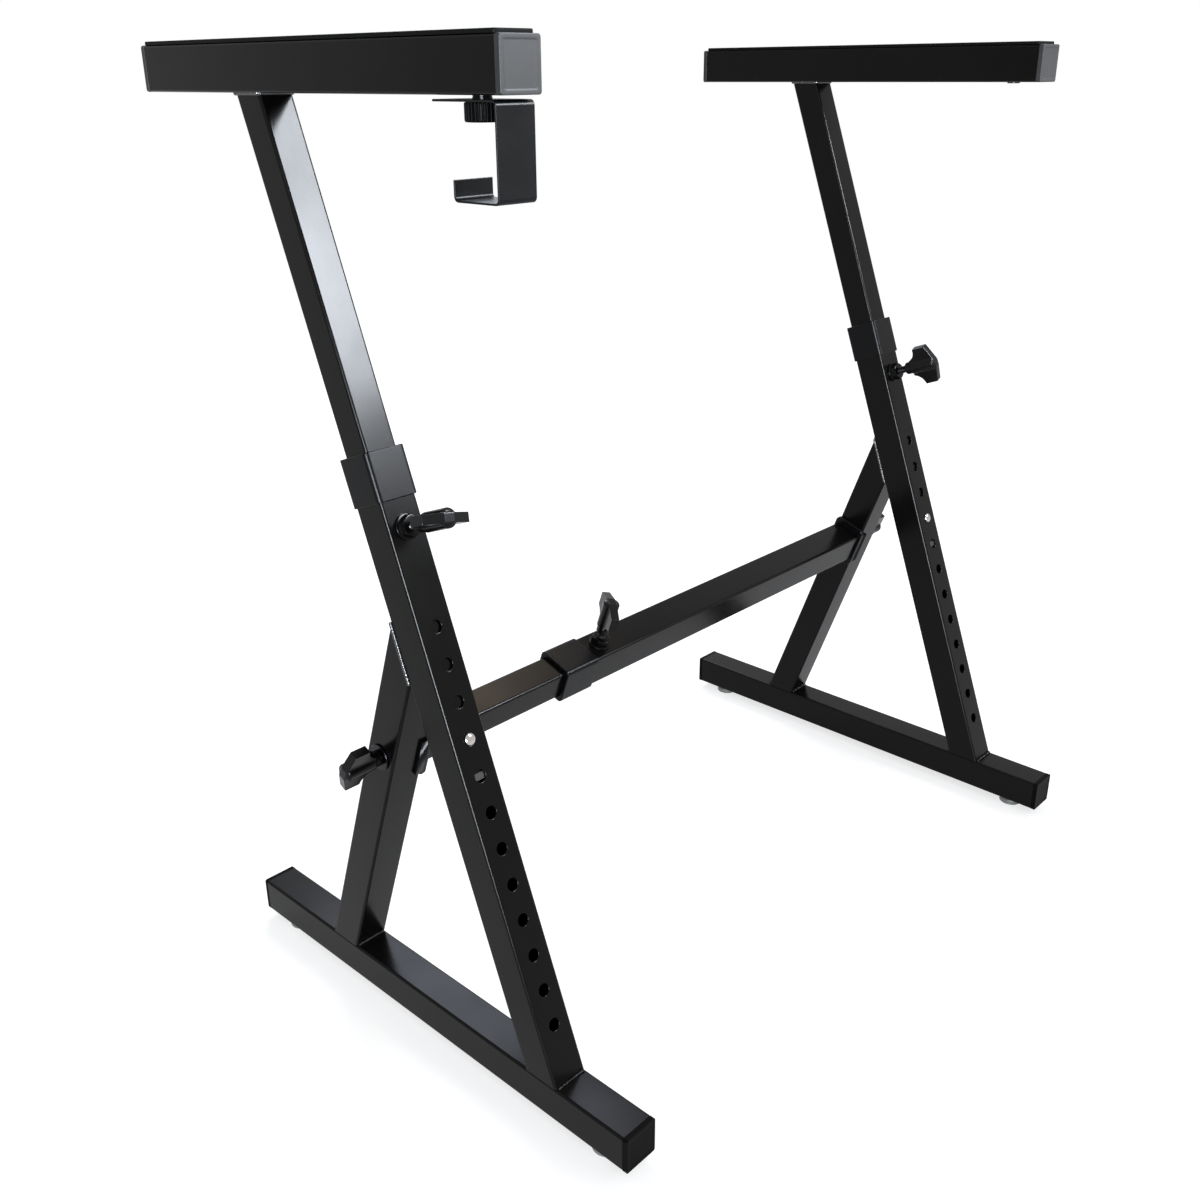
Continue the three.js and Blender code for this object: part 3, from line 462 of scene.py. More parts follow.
# %% Front legs
HOLE_COUNT = 12
FIRST_HOLE = 45 * MM
HOLE_PITCH = 32 * MM
HOLE_RADIUS = 5.5 * MM
RIM = 0.6 * MM
KNOB_ABOVE_HOLES = 83 * MM
LEG_ABOVE_KNOB = 60.5 * MM
KNOB_STATION = FIRST_HOLE + HOLE_PITCH * (HOLE_COUNT - 1) + KNOB_ABOVE_HOLES
LEG_LENGTH = KNOB_STATION + LEG_ABOVE_KNOB
leg = square_tube("leg", TUBE, -OVERRUN, LEG_LENGTH)
flare = arc(RIM, -RIM, 180, 90, 4, HOLE_RADIUS + RIM)
drill = turned("drill", [(HOLE_RADIUS, -TUBE / 4), *flare, (HOLE_RADIUS + RIM, RIM)])
holes = []
for index in range(HOLE_COUNT):
    station = FIRST_HOLE + HOLE_PITCH * index
    holes.append(copied(drill, "hole", Matrix.Translation((0, 0, station)) @ OUT_OF_LEG))
cut(leg, joined("holes", holes))
settle(leg, leg_place)
smooth(cut(leg, slab_below(DECK)))
for side in SIDES:
    tube = copied(leg, f"{side}_front_leg", at_side(side))
    dress(tube, powder_coat, f"{side}_frame", f"{side}_leg_tube")
bpy.data.objects.remove(leg)
bpy.data.objects.remove(drill)
print(f"legs are {LEG_LENGTH / MM:.1f} mm long, with {HOLE_COUNT} holes")

# %% [markdown]
# The brace leans the other way and is cut twice: level at the floor tube, and along the leg's
# rear face where it is welded to the leg.

# %% Braces
BRACE_REACH = 430 * MM
brace = settle(square_tube("brace", TUBE, -OVERRUN, BRACE_REACH), brace_place)
cut(brace, slab_below(DECK))
bpy.ops.mesh.primitive_cube_add(size=SLAB, location=(0, TUBE / 2 - SLAB / 2, 0))
cut(brace, settle(fresh("leg side"), leg_place))
smooth(brace)
for side in SIDES:
    tube = copied(brace, f"{side}_brace", at_side(side))
    dress(tube, powder_coat, f"{side}_frame", f"{side}_brace_tube")
bpy.data.objects.remove(brace)
print("braces meet the legs")

# %% Sliding posts
BUTTON_HOLE = 8
POST_ABOVE_BUTTON = 524 * MM
POST_BELOW_BUTTON = 29 * MM
BUTTON_STATION = FIRST_HOLE + HOLE_PITCH * BUTTON_HOLE
POST_TOP = BUTTON_STATION + POST_ABOVE_BUTTON
POST_BOTTOM = BUTTON_STATION - POST_BELOW_BUTTON
post = square_tube("post", INNER_TUBE, POST_BOTTOM, POST_TOP + OVERRUN)
settle(post, leg_place)
cut(post, slab_below(ARM_UNDERSIDE + SLAB, "roof"))
smooth(post)
for side in SIDES:
    tube = copied(post, f"{side}_sliding_post", at_side(side))
    dress(tube, powder_coat, f"{side}_post", f"{side}_post_tube")
bpy.data.objects.remove(post)
print(f"posts end at {POST_TOP / MM:.0f} mm up the legs")

# %% Crossbar
bar_low, bar_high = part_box("crossbar_inner_tube")
sleeve_low, sleeve_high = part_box("crossbar_outer_tube")
for name, size, low, high, body, node in (
        ("crossbar_rod", INNER_TUBE, bar_low.x, bar_high.x,
         "left_frame", "crossbar_inner_tube"),
        ("crossbar_sleeve", TUBE, sleeve_low.x, sleeve_high.x,
         "right_frame", "crossbar_outer_tube")):
    tube = settle(square_tube(name, size, low, high), bar_place @ ALONG_X)
    dress(smooth(tube), powder_coat, body, node)
    print(f"{name} runs from x = {low:.3f} to {high:.3f}")

# %% [markdown]
# A weld is a row of drops that froze one over the other. Each drop here is a ball, squashed along
# the seam. A voxel remesh melts the row into one skin, and a light smoothing leaves the ripples.

# %% Weld beads
DROP_PITCH = 1.7 * MM
DROP_SQUASH = 0.62
BEAD = 2.0 * MM


def weld_bead(name, path, radius, seed):
    """A rippled bead along a path of points."""
    shake = random.Random(seed)
    drops = []
    for start, end in zip(path, path[1:]):
        run = end - start
        count = max(2, round(run.length / DROP_PITCH))
        turn = run.to_track_quat("Z", "Y").to_euler()
        for step in range(count):
            size = radius * shake.uniform(0.92, 1.08)
            bpy.ops.mesh.primitive_uv_sphere_add(segments=14, ring_count=10, radius=size,
                                                 location=start + run * (step + 0.5) / count,
                                                 rotation=turn)
            bpy.context.object.scale = (1, 1, DROP_SQUASH)
            drops.append(fresh("drop"))
    bead = joined(name, drops)
    apply(bead, "REMESH", mode="VOXEL", voxel_size=0.4 * MM)
    apply(bead, "SMOOTH", factor=0.5, iterations=1)
    only(bead)
    bpy.ops.object.shade_smooth()
    return bead


def across(y, z):
    """A seam from left to right at one depth and height."""
    half = TUBE / 2 - CORNER
    return [Vector((-half, y, z)), Vector((half, y, z))]


leg_half = TUBE / 2 / math.cos(LEG_TILT)
brace_half = TUBE / 2 / math.cos(BRACE_TILT)
seams = [("leg_front_weld", across(LEG_FOOT - leg_half - MM / 2, DECK + MM / 2)),
         ("leg_rear_weld", across(LEG_FOOT + leg_half + MM / 2, DECK + MM / 2)),
         ("brace_front_weld", across(BRACE_FOOT - brace_half - MM / 2, DECK + MM / 2)),
         ("brace_rear_weld", across(BRACE_FOOT + brace_half + MM / 2, DECK + MM / 2))]
for index, (name, path) in enumerate(seams):
    bead = weld_bead(name, path, BEAD, index)
    for side in SIDES:
        dress(copied(bead, f"{side}_{name}", at_side(side)), powder_coat, f"{side}_frame")
    bpy.data.objects.remove(bead)
print(len(seams), "welds at the floor tubes")


# %% The weld where the brace meets the leg
def meeting(leg_shift, brace_shift):
    """Where a line along the leg crosses a line along the brace, in the side view."""
    leg_up = Vector((math.sin(LEG_TILT), math.cos(LEG_TILT)))
    brace_up = Vector((-math.sin(BRACE_TILT), math.cos(BRACE_TILT)))
    gap = Vector((BRACE_FOOT + brace_shift - LEG_FOOT - leg_shift, 0))
    reach = gap.cross(brace_up) / leg_up.cross(brace_up)
    point = Vector((LEG_FOOT + leg_shift, DECK)) + leg_up * reach
    return Vector((0, point.x, point.y))


FILLET = 2.2 * MM
SIDE_BEAD = 1.8 * MM
joint_low = meeting(leg_half, -brace_half)
joint_high = meeting(leg_half, brace_half)
edge = TUBE / 2
inset = Vector((edge - CORNER, 0, 0))
side_edge = Vector((edge, 0, 0))
for name, path, radius in (
        ("joint_low_weld", [joint_low - inset, joint_low + inset], FILLET),
        ("joint_high_weld", [joint_high - inset, joint_high + inset], FILLET),
        ("joint_left_weld", [joint_low - side_edge, joint_high - side_edge], SIDE_BEAD),
        ("joint_right_weld", [joint_low + side_edge, joint_high + side_edge], SIDE_BEAD)):
    bead = weld_bead(name, path, radius, len(name))
    for side in SIDES:
        dress(copied(bead, f"{side}_{name}", at_side(side)), weld_paint, f"{side}_frame")
    bpy.data.objects.remove(bead)
print(f"brace and leg share a seam of {(joint_high - joint_low).length / MM:.0f} mm")

# %% The welds under the arms
post_middle = leg_place @ Vector((0, 0, POST_TOP))
post_half = INNER_TUBE / 2 / math.cos(LEG_TILT)
half = INNER_TUBE / 2
corner_points = [Vector((x * half, post_middle.y + y * post_half, ARM_UNDERSIDE))
                 for x, y in ((-1, -1), (1, -1), (1, 1), (-1, 1), (-1, -1))]
ARM_WELD_SEED = 9
bead = weld_bead("arm_weld", corner_points, BEAD, ARM_WELD_SEED)
for side in SIDES:
    dress(copied(bead, f"{side}_arm_weld", at_side(side)), weld_paint, f"{side}_post")
bpy.data.objects.remove(bead)
print("arm welds run round the posts")

# %% [markdown]
# Plastic caps close the ends of the floor tubes and arms. The face has a raised border round a
# shallow panel. An inset would cross over itself at such small corners, so the cap is raised ring
# by ring from the panel, over the border and the flange, to the tip of the plug.

# %% End caps
CAP_FLANGE = 5 * MM
BORDER = 2.8 * MM
EDGE = 0.5 * MM
CAP_CORNER = 1.6 * MM
PLUG_LENGTH = 20 * MM
PLUG_LEAD = 2 * MM
half = TUBE / 2
panel = half - BORDER
plug = half - WALL - 0.4 * MM
rings = [(panel - 1.2 * MM, 0.28 * MM), (panel - 0.4 * MM, 0.1 * MM), (panel + 0.4 * MM, 0)]
rings += [(half - EDGE, 0), *arc(EDGE, EDGE, -60, 0, 3, half - EDGE)]
rings += [(half, CAP_FLANGE - 0.3 * MM), (half - 0.3 * MM, CAP_FLANGE), (plug, CAP_FLANGE)]
rings += [(plug, CAP_FLANGE + PLUG_LENGTH - PLUG_LEAD), (plug - 1.5 * MM, CAP_FLANGE + PLUG_LENGTH)]
cap = smooth(squared("cap", rings, CAP_CORNER), 40)
for side in SIDES:
    for base, body, mid, plastic in (
            ("foot", "frame", DECK - TUBE / 2, foot_plastic),
            ("arm", "post", ARM_UNDERSIDE + TUBE / 2, cap_plastic)):
        for end in ("front", "rear"):
            low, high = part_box(f"{side}_{base}_cap_{end}")
            turn = level if end == "front" else Matrix.Rotation(math.pi / 2, 4, "X")
            y = low.y if end == "front" else high.y
            place = Matrix.Translation((SIDES[side], y, mid)) @ turn
            piece = copied(cap, f"{side}_{base}_end_cap_{end}", place)
            dress(piece, plastic, f"{side}_{body}", f"{side}_{base}_cap_{end}")
bpy.data.objects.remove(cap)
print("eight end caps")

# %% [markdown]
# The glides are pale pads with a rounded rim and a stepped neck. Each is turned from one list of
# rings, from the sole up to the neck that meets the floor tube.

# %% Glides
glide_low, glide_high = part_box("left_glide_front")
sole = (glide_high.x - glide_low.x) / 2
height = cap_low.z
LOW_RIM = 1.1 * MM
HIGH_RIM = 1.2 * MM
rings = [(sole * share, 0) for share in (0.6, 0.64, 0.9)]
rings += [*arc(LOW_RIM, LOW_RIM, -90, 0, 5, sole - LOW_RIM),
          *arc(HIGH_RIM, height * 0.55, 0, 90, 5, sole - HIGH_RIM), (sole * 0.84, height * 0.72),
          (sole * 0.82, height * 0.8), (sole * 0.82, height)]
glide = smooth(turned("glide", rings, 64))
for side in SIDES:
    for end in ("front", "rear"):
        low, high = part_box(f"{side}_glide_{end}")
        middle = (low + high) / 2
        place = Matrix.Translation((middle.x, middle.y, low.z))
        piece = copied(glide, f"{side}_floor_glide_{end}", place)
        dress(piece, glide_rubber, f"{side}_frame", f"{side}_glide_{end}")
bpy.data.objects.remove(glide)
print(f"glides are {2 * sole / MM:.0f} mm across")

# %% [markdown]
# A collar covers the raw end of each outer tube. It has a socket for that tube and a smaller
# window for the tube that slides through it.

# %% Collars
COLLAR_WALL = 1.7 * MM
COLLAR_END = 3 * MM
GAP = 0.3 * MM


def collar(name, length):
    """A collar that stands on height 0, with its window at the top."""
    outside = TUBE + 2 * GAP + 2 * COLLAR_WALL
    sleeve = square_bar(name, outside, 0, length, CORNER + COLLAR_WALL)
    socket = square_bar("socket", TUBE + 2 * GAP, -OVERRUN, length - COLLAR_END)
    window = square_bar("window", INNER_TUBE + 2 * GAP, -OVERRUN, length + OVERRUN)
    cut(sleeve, socket, window)
    apply(sleeve, "BEVEL", width=0.8 * MM, segments=4, limit_method="ANGLE",
          angle_limit=math.radians(50))
    return smooth(sleeve, 40)


LEG_COLLAR = 40.5 * MM
leg_collar = collar("leg collar", LEG_COLLAR)
rise = LEG_LENGTH + GAP + COLLAR_END - LEG_COLLAR
for side in SIDES:
    place = at_side(side) @ leg_place @ Matrix.Translation((0, 0, rise))
    piece = copied(leg_collar, f"{side}_collar", place)
    dress(piece, collar_plastic, f"{side}_frame", f"{side}_leg_collar")
bpy.data.objects.remove(leg_collar)
low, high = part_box("crossbar_collar")
bar_collar = collar("bar_collar", high.x - low.x)
turn = Matrix.Rotation(-math.pi / 2, 4, "Y")
settle(bar_collar, bar_place @ Matrix.Translation((high.x, 0, 0)) @ turn)
dress(bar_collar, collar_plastic, "right_frame", "crossbar_collar")
print("three collars")

# %% [markdown]
# The wing knob is moulded plastic: a round boss with a flat blade through it. The blade starts as a
# block. Two large cylinders scoop out the hollows beside the hub, leaning blocks bevel the far
# corners, and the boss is turned and added. A remesh and a smoothing then round every edge and
# fill the corners between boss and blade, as a mould does.

# %% One wing knob
KNOB_LENGTH = 37.5 * MM
WING = 45 * MM
BLADE = 8.2 * MM
HUB = 7.1 * MM
BOSS = 8.2 * MM
HUB_LENGTH = 6.5 * MM
HUB_BORE = 4.2 * MM
BORE_DEPTH = 10 * MM
DOME = 2.6 * MM
SCOOP = 13.6 * MM
SCOOP_HEIGHT = 3.2 * MM
BLOCK = 60 * MM
BEVELS = (  # how far out, how far up, and the slope in degrees
    (22.5 * MM, 31.9 * MM, 60),
    (21.5 * MM, 32.4 * MM, 17),
)
bpy.ops.mesh.primitive_cube_add(size=1, location=(0, 0, (HUB_LENGTH + KNOB_LENGTH) / 2),
                                scale=(WING, BLADE, KNOB_LENGTH - HUB_LENGTH))
knob = fresh("knob")
lie = Matrix.Rotation(math.pi / 2, 4, "X")
for x in (-1, 1):
    scoop = upright("scoop", SCOOP, -WING, WING, 64)
    cut(knob, settle(scoop, Matrix.Translation((x * WING / 2, 0, SCOOP_HEIGHT)) @ lie))
for x in (-1, 1):
    for beside, above, slope in BEVELS:
        lean = x * math.radians(slope)
        outward = Vector((math.sin(lean), 0, math.cos(lean)))
        corner = Vector((x * beside, 0, above))
        bpy.ops.mesh.primitive_cube_add(size=BLOCK, location=corner + outward * BLOCK / 2,
                                        rotation=(0, lean, 0))
        cut(knob, fresh("bevel block"))
rings = [(HUB, 0), (HUB, HUB_LENGTH), (BOSS, HUB_LENGTH + BOSS - HUB)]
rings += [(BOSS * r, KNOB_LENGTH - DOME + DOME * h) for r, h in arc(1.0, 0.0, 0, 84, 8)]
cut(knob, turned("boss", rings), operation="UNION")
apply(knob, "REMESH", mode="VOXEL", voxel_size=0.45 * MM)
apply(knob, "SMOOTH", factor=0.5, iterations=4)
cut(knob, upright("bore", HUB_BORE, -OVERRUN, BORE_DEPTH))
smooth(knob, 40)
print("the knob has", len(knob.data.polygons), "faces")

# %% Put the five knobs on their screws
LEG_TURNS = {"left": -11, "right": 110}
BAR_TURNS = {"left": -8, "right": 10}
STANDOFF = 20.5 * MM
WIDTH_TURN = 57
WIDTH_STANDOFF = 16.5 * MM
WIDTH_X = -111 * MM
for side in SIDES:
    turn = Matrix.Rotation(math.radians(LEG_TURNS[side]), 4, "Z")
    place = leg_face(side, KNOB_STATION) @ Matrix.Translation((0, 0, STANDOFF)) @ turn
    piece = copied(knob, f"{side}_height_wing_knob", place)
    dress(piece, knob_plastic, f"{side}_height_clamp", f"{side}_height_knob")
    low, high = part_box(f"{side}_bar_knob")
    hub_x = high.x if side == "left" else low.x
    face = Matrix.Identity(4) if side == "right" else Matrix.Rotation(math.pi, 4, "Z")
    turn = Matrix.Rotation(math.radians(BAR_TURNS[side]), 4, "Z")
    place = bar_place @ Matrix.Translation((hub_x, 0, 0)) @ face @ ALONG_X @ turn
    piece = copied(knob, f"{side}_bar_wing_knob", place)
    dress(piece, knob_plastic, f"{side}_bar_clamp", f"{side}_bar_knob")
width_mount = bar_place @ Matrix.Translation((WIDTH_X, 0, TUBE / 2))
turn = Matrix.Rotation(math.radians(WIDTH_TURN), 4, "Z")
place = width_mount @ Matrix.Translation((0, 0, WIDTH_STANDOFF)) @ turn
dress(copied(knob, "width_wing_knob", place), knob_plastic, "width_clamp", "width_knob")
bpy.data.objects.remove(knob)
print("five knobs")

# %% [markdown]
# Each clamp has a flanged hexagon nut that is welded to the tube, and a black screw. The hexagon
# is a six-sided prism cut by a turned lens, which leaves the curved chamfer that nuts have.

# %% Weld nuts
NUT_HEIGHT = 9.2 * MM
ACROSS_FLATS = 17 * MM
NUT_BORE = 4.15 * MM
NUT_FLANGE = 10.8 * MM
NUT_RADIUS = ACROSS_FLATS / 2 / math.cos(math.pi / 6)
nut = upright("nut", NUT_RADIUS, 0, NUT_HEIGHT, 6)
lens = turned("lens", [(NUT_RADIUS * 1.02, -MM), (NUT_RADIUS * 1.02, NUT_HEIGHT * 0.82),
                       (NUT_RADIUS * 0.93, NUT_HEIGHT * 0.94), (NUT_RADIUS * 0.8, NUT_HEIGHT)], 64)
cut(nut, lens, operation="INTERSECT")
flange = turned("flange", [(NUT_FLANGE, 0), (NUT_FLANGE, 1.4 * MM), (10.3 * MM, 2.0 * MM),
                           (9 * MM, 2.2 * MM)], 64)
cut(nut, flange, operation="UNION")
cut(nut, upright("bore", NUT_BORE, -MM, NUT_HEIGHT + MM))
apply(nut, "BEVEL", width=0.35 * MM, segments=3, limit_method="ANGLE",
      angle_limit=math.radians(35))
smooth(nut, 40)
for side in SIDES:
    piece = copied(nut, f"{side}_weld_nut", leg_face(side, KNOB_STATION))
    dress(piece, powder_coat, f"{side}_frame", f"{side}_height_nut")
dress(copied(nut, "width_weld_nut", width_mount), powder_coat, "right_frame", "width_nut")
bpy.data.objects.remove(nut)
print("three weld nuts")

# %% [markdown]
# A thread is a ridge wound round a rod. The ridge here is a small square, set on its corner and
# wound by a Screw modifier, one turn for each pitch. Its two open ends are then filled.

# %% Clamp screws
PITCH = 1.25 * MM
CORE = 3.4 * MM
SCREW_TIP = -2 * MM
IN_KNOB = 9 * MM


def threaded_screw(name, bottom, top):
    core = upright(name, CORE, bottom, top)
    bpy.ops.mesh.primitive_plane_add(size=PITCH * 0.8, location=(CORE, 0, bottom + PITCH),
                                     rotation=(math.pi / 2, math.pi / 4, 0))
    ridge = fresh("ridge")
    pick(ridge, "FACE", lambda middle, normal: True)
    bpy.ops.mesh.delete(type="ONLY_FACE")
    done()
    turns = int((top - bottom) / PITCH) - 2
    apply(ridge, "SCREW", axis="Z", angle=2 * math.pi, screw_offset=PITCH, iterations=turns,
          steps=24, render_steps=24)
    bpy.ops.object.mode_set(mode="EDIT")
    bpy.ops.mesh.select_mode(type="EDGE")
    bpy.ops.mesh.select_all(action="DESELECT")
    bpy.ops.mesh.select_non_manifold()
    bpy.ops.mesh.fill_holes(sides=4)
    bpy.ops.mesh.select_all(action="SELECT")
    bpy.ops.mesh.normals_make_consistent(inside=False)
    done()
    screw = joined(name, [core, ridge])
    return smooth(screw, 50)


for side in SIDES:
    screw = threaded_screw(f"{side}_clamp_screw", SCREW_TIP, STANDOFF + IN_KNOB)
    settle(screw, leg_face(side, KNOB_STATION))
    dress(screw, black_zinc, f"{side}_height_clamp", f"{side}_height_screw")
screw = threaded_screw("width_clamp_screw", SCREW_TIP, WIDTH_STANDOFF + IN_KNOB)
settle(screw, width_mount)
dress(screw, black_zinc, "width_clamp", "width_screw")
print("three clamp screws, pitch", round(PITCH / MM, 2), "mm")

# %% [markdown]
# The snap button is a polished dome that stands in one hole of the leg. A flange behind it keeps
# it inside the tube.

# %% Snap buttons
FLANGE = 6.8 * MM
FLANGE_THICK = 1.2 * MM
SHOULDER = 0.8 * MM
BUTTON_DOME = 2.0 * MM
shank = HOLE_RADIUS - GAP
inner_face = -4.3 * MM
rings = [(FLANGE, inner_face - FLANGE_THICK), (FLANGE, inner_face), (shank, inner_face),
         (shank, 0.5 * MM)]
rings += [(shank * r, SHOULDER + BUTTON_DOME * h) for r, h in arc(1.0, 0.0, 0, 84, 8)]
button = smooth(turned("button", rings, 64), 40)
for side in SIDES:
    piece = copied(button, f"{side}_polished_button", leg_face(side, BUTTON_STATION))
    dress(piece, chrome, f"{side}_button", f"{side}_snap_button")
bpy.data.objects.remove(button)
print("two snap buttons")

# %% [markdown]
# A moulded saddle sits between the crossbar and each brace and hugs the brace with two lips. It
# starts as a plate with bevelled corners. Its plug is out of sight inside the crossbar and is left
# out here.

# %% Saddles
SADDLE = 54 * MM
SADDLE_THICK = 4 * MM
SADDLE_CORNER = 7 * MM
SADDLE_EDGE = 1.4 * MM
LIP = 2.6 * MM
LIP_DEPTH = 10 * MM
LIP_LENGTH = 40 * MM
LIP_MIDDLE = -3.5 * MM
width = TUBE + 2 * (GAP + LIP)
bpy.ops.mesh.primitive_cube_add(size=1, location=(SADDLE_THICK / 2, 0, 0),
                                scale=(SADDLE_THICK, width, SADDLE))
saddle = fresh("saddle")
pick(saddle, "EDGE", lambda middle, along: abs(along.x) > 0.9)
bpy.ops.mesh.bevel(offset=SADDLE_CORNER, segments=5, affect="EDGES")
done()
pick(saddle, "EDGE", lambda middle, along: middle.x > SADDLE_THICK * 0.9 and abs(along.x) < 0.1)
bpy.ops.mesh.bevel(offset=SADDLE_EDGE, segments=4, affect="EDGES")
done()
for y in (-1, 1):
    middle = Vector((LIP_MIDDLE, y * (TUBE / 2 + GAP + LIP / 2), 0))
    bpy.ops.mesh.primitive_cube_add(size=1, location=middle, scale=(LIP_DEPTH, LIP, LIP_LENGTH))
    cut(saddle, fresh("lip"), operation="UNION")
apply(saddle, "BEVEL", width=0.5 * MM, segments=3, limit_method="ANGLE",
      angle_limit=math.radians(50))
smooth(saddle, 40)
beside_brace = Matrix.Translation((TUBE / 2 + GAP, 0, 0))
for side in SIDES:
    face = Matrix.Identity(4) if side == "left" else Matrix.Rotation(math.pi, 4, "Z")
    place = at_side(side) @ bar_place @ face @ beside_brace
    piece = copied(saddle, f"{side}_saddle", place)
    dress(piece, collar_plastic, f"{side}_frame", f"{side}_bar_saddle")
bpy.data.objects.remove(saddle)
print("two saddles")

# %% Washers
WASHER = 12 * MM
WASHER_BORE = 4.3 * MM
edge = 0.25 * MM
for side in SIDES:
    low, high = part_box(f"{side}_bar_washer")
    thick = high.x - low.x
    rings = [(WASHER - edge, 0), (WASHER, edge), (WASHER, thick - edge), (WASHER - edge, thick)]
    washer = turned(f"{side}_washer", rings, 64)
    cut(washer, upright("bore", WASHER_BORE, -MM, thick + MM))
    _, y, z = bar_place.translation
    place = Matrix.Translation((low.x, y, z)) @ ALONG_X
    dress(smooth(settle(washer, place), 40), black_zinc, f"{side}_frame", f"{side}_bar_washer")
print("two washers")

# %% [markdown]
# The accessory hook is one steel strap, bent three times. It is drawn as a sheet: a straight edge
# is extruded along each run and spun round each bend. The sheet then gets its thickness and
# softened edges.

# %% Hook strap
strap_low, strap_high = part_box("hook_strap")
knob_low, knob_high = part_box("hook_thumb_knob")
AXIS_Y = (knob_low.y + knob_high.y) / 2
STRAP = 1.5 * MM
PIN_RADIUS = 3.3 * MM
BEND = 3 * MM
LIP_REACH = 42 * MM
LIP_RISE = 14 * MM
wide = strap_high.x - strap_low.x
middle_x = (strap_low.x + strap_high.x) / 2
top_z = strap_high.z - STRAP / 2
front_y = strap_low.y + STRAP / 2
low_z = strap_low.z + STRAP / 2
lip_y = front_y + LIP_REACH


def run_edge(move):
    bpy.ops.mesh.extrude_region_move(TRANSFORM_OT_translate={"value": move})


def bend_edge(y, z):
    """A quarter bend about a line from left to right."""
    bpy.ops.mesh.spin(steps=8, angle=-math.pi / 2, center=(middle_x, y, z), axis=(1, 0, 0))


start = strap_high.y
bpy.ops.mesh.primitive_plane_add(size=1, location=(middle_x, start - MM / 2, top_z))
bpy.context.object.scale = (wide, MM, 1)
strap = fresh("strap")
pick(strap, "EDGE", lambda middle, along: abs(along.x) > 0.9 and middle.y < start - MM / 2)
run_edge((0, front_y + BEND - (start - MM), 0))
bend_edge(front_y + BEND, top_z - BEND)
run_edge((0, 0, low_z + BEND - (top_z - BEND)))
bend_edge(front_y + BEND, low_z + BEND)
run_edge((0, lip_y - BEND - (front_y + BEND), 0))
bend_edge(lip_y - BEND, low_z + BEND)
run_edge((0, 0, LIP_RISE - BEND - STRAP / 2))
bpy.ops.mesh.select_all(action="SELECT")
bpy.ops.mesh.remove_doubles(threshold=0.00001)
bpy.ops.mesh.normals_make_consistent(inside=False)
done()
apply(strap, "SOLIDIFY", thickness=STRAP, offset=0)
pin = upright("pin", PIN_RADIUS, -OVERRUN, OVERRUN)
cut(strap, settle(pin, Matrix.Translation((middle_x, AXIS_Y, top_z))))
apply(strap, "BEVEL", width=0.45 * MM, segments=3, limit_method="ANGLE",
      angle_limit=math.radians(50))
smooth(strap, 40)
strap.name = "accessory_hook"
dress(strap, strap_paint, "hook", "hook_strap")
print("hook box", [[round(v, 4) for v in corner] for corner in (strap_low, strap_high)])

# %% [markdown]
# The thumb knob under the strap is a turned cap with grooves all round for grip.

# %% Thumb knob and spacer
KNOB_RADIUS = (knob_high.x - knob_low.x) / 2
tall = knob_high.z - knob_low.z
FLUTES = 30
FLUTE_RADIUS = 0.85 * MM
LOW_EDGE = 1.3 * MM
HIGH_EDGE = 1.1 * MM
SPACER_RADIUS = 6.5 * MM
rings = [*arc(LOW_EDGE, LOW_EDGE, -90, 0, 5, KNOB_RADIUS - LOW_EDGE),
         *arc(HIGH_EDGE, tall - HIGH_EDGE, 0, 90, 5, KNOB_RADIUS - HIGH_EDGE)]
thumb = turned("thumb", rings, 120)
reach = KNOB_RADIUS + 0.3 * MM
grooves = []
for step in range(FLUTES):
    angle = 2 * math.pi * step / FLUTES
    groove = upright("groove", FLUTE_RADIUS, -MM, tall + MM, sides=16)
    place = Matrix.Translation((reach * math.cos(angle), reach * math.sin(angle), 0))
    grooves.append(settle(groove, place))
cut(thumb, joined("grooves", grooves))
smooth(settle(thumb, Matrix.Translation((middle_x, AXIS_Y, knob_low.z))), 40)
thumb.name = "thumb_knob"
dress(thumb, foot_plastic, "hook_clamp", "hook_thumb_knob")
spacer_low, spacer_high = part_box("hook_spacer")
spacer = upright("spacer", SPACER_RADIUS, 0, spacer_high.z - spacer_low.z)
smooth(settle(spacer, Matrix.Translation((middle_x, AXIS_Y, spacer_low.z))))
dress(spacer, powder_coat, "left_post", "hook_spacer")
print(FLUTES, "grooves on the thumb knob")

# %% [markdown]
# A rubber strip is glued along the top of each arm. Its edges are softly rounded.

# %% Rubber strips
STRIP_CORNER = 2.5 * MM
STRIP_EDGE = 1.0 * MM
for side in SIDES:
    low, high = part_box(f"{side}_arm_pad")
    size = high - low
    bpy.ops.mesh.primitive_cube_add(size=1, location=(low + high) / 2, scale=size)
    strip = fresh(f"{side}_rubber_strip")
    pick(strip, "EDGE", lambda middle, along: abs(along.z) > 0.9)
    bpy.ops.mesh.bevel(offset=STRIP_CORNER, segments=6, affect="EDGES")
    done()
    pick(strip, "EDGE", lambda middle, along: middle.z > low.z + size.z * 0.9)
    bpy.ops.mesh.bevel(offset=STRIP_EDGE, segments=5, affect="EDGES")
    done()
    dress(smooth(strip, 40), strip_rubber, f"{side}_post", f"{side}_arm_pad")
print(f"strips are {size.y:.3f} m long")

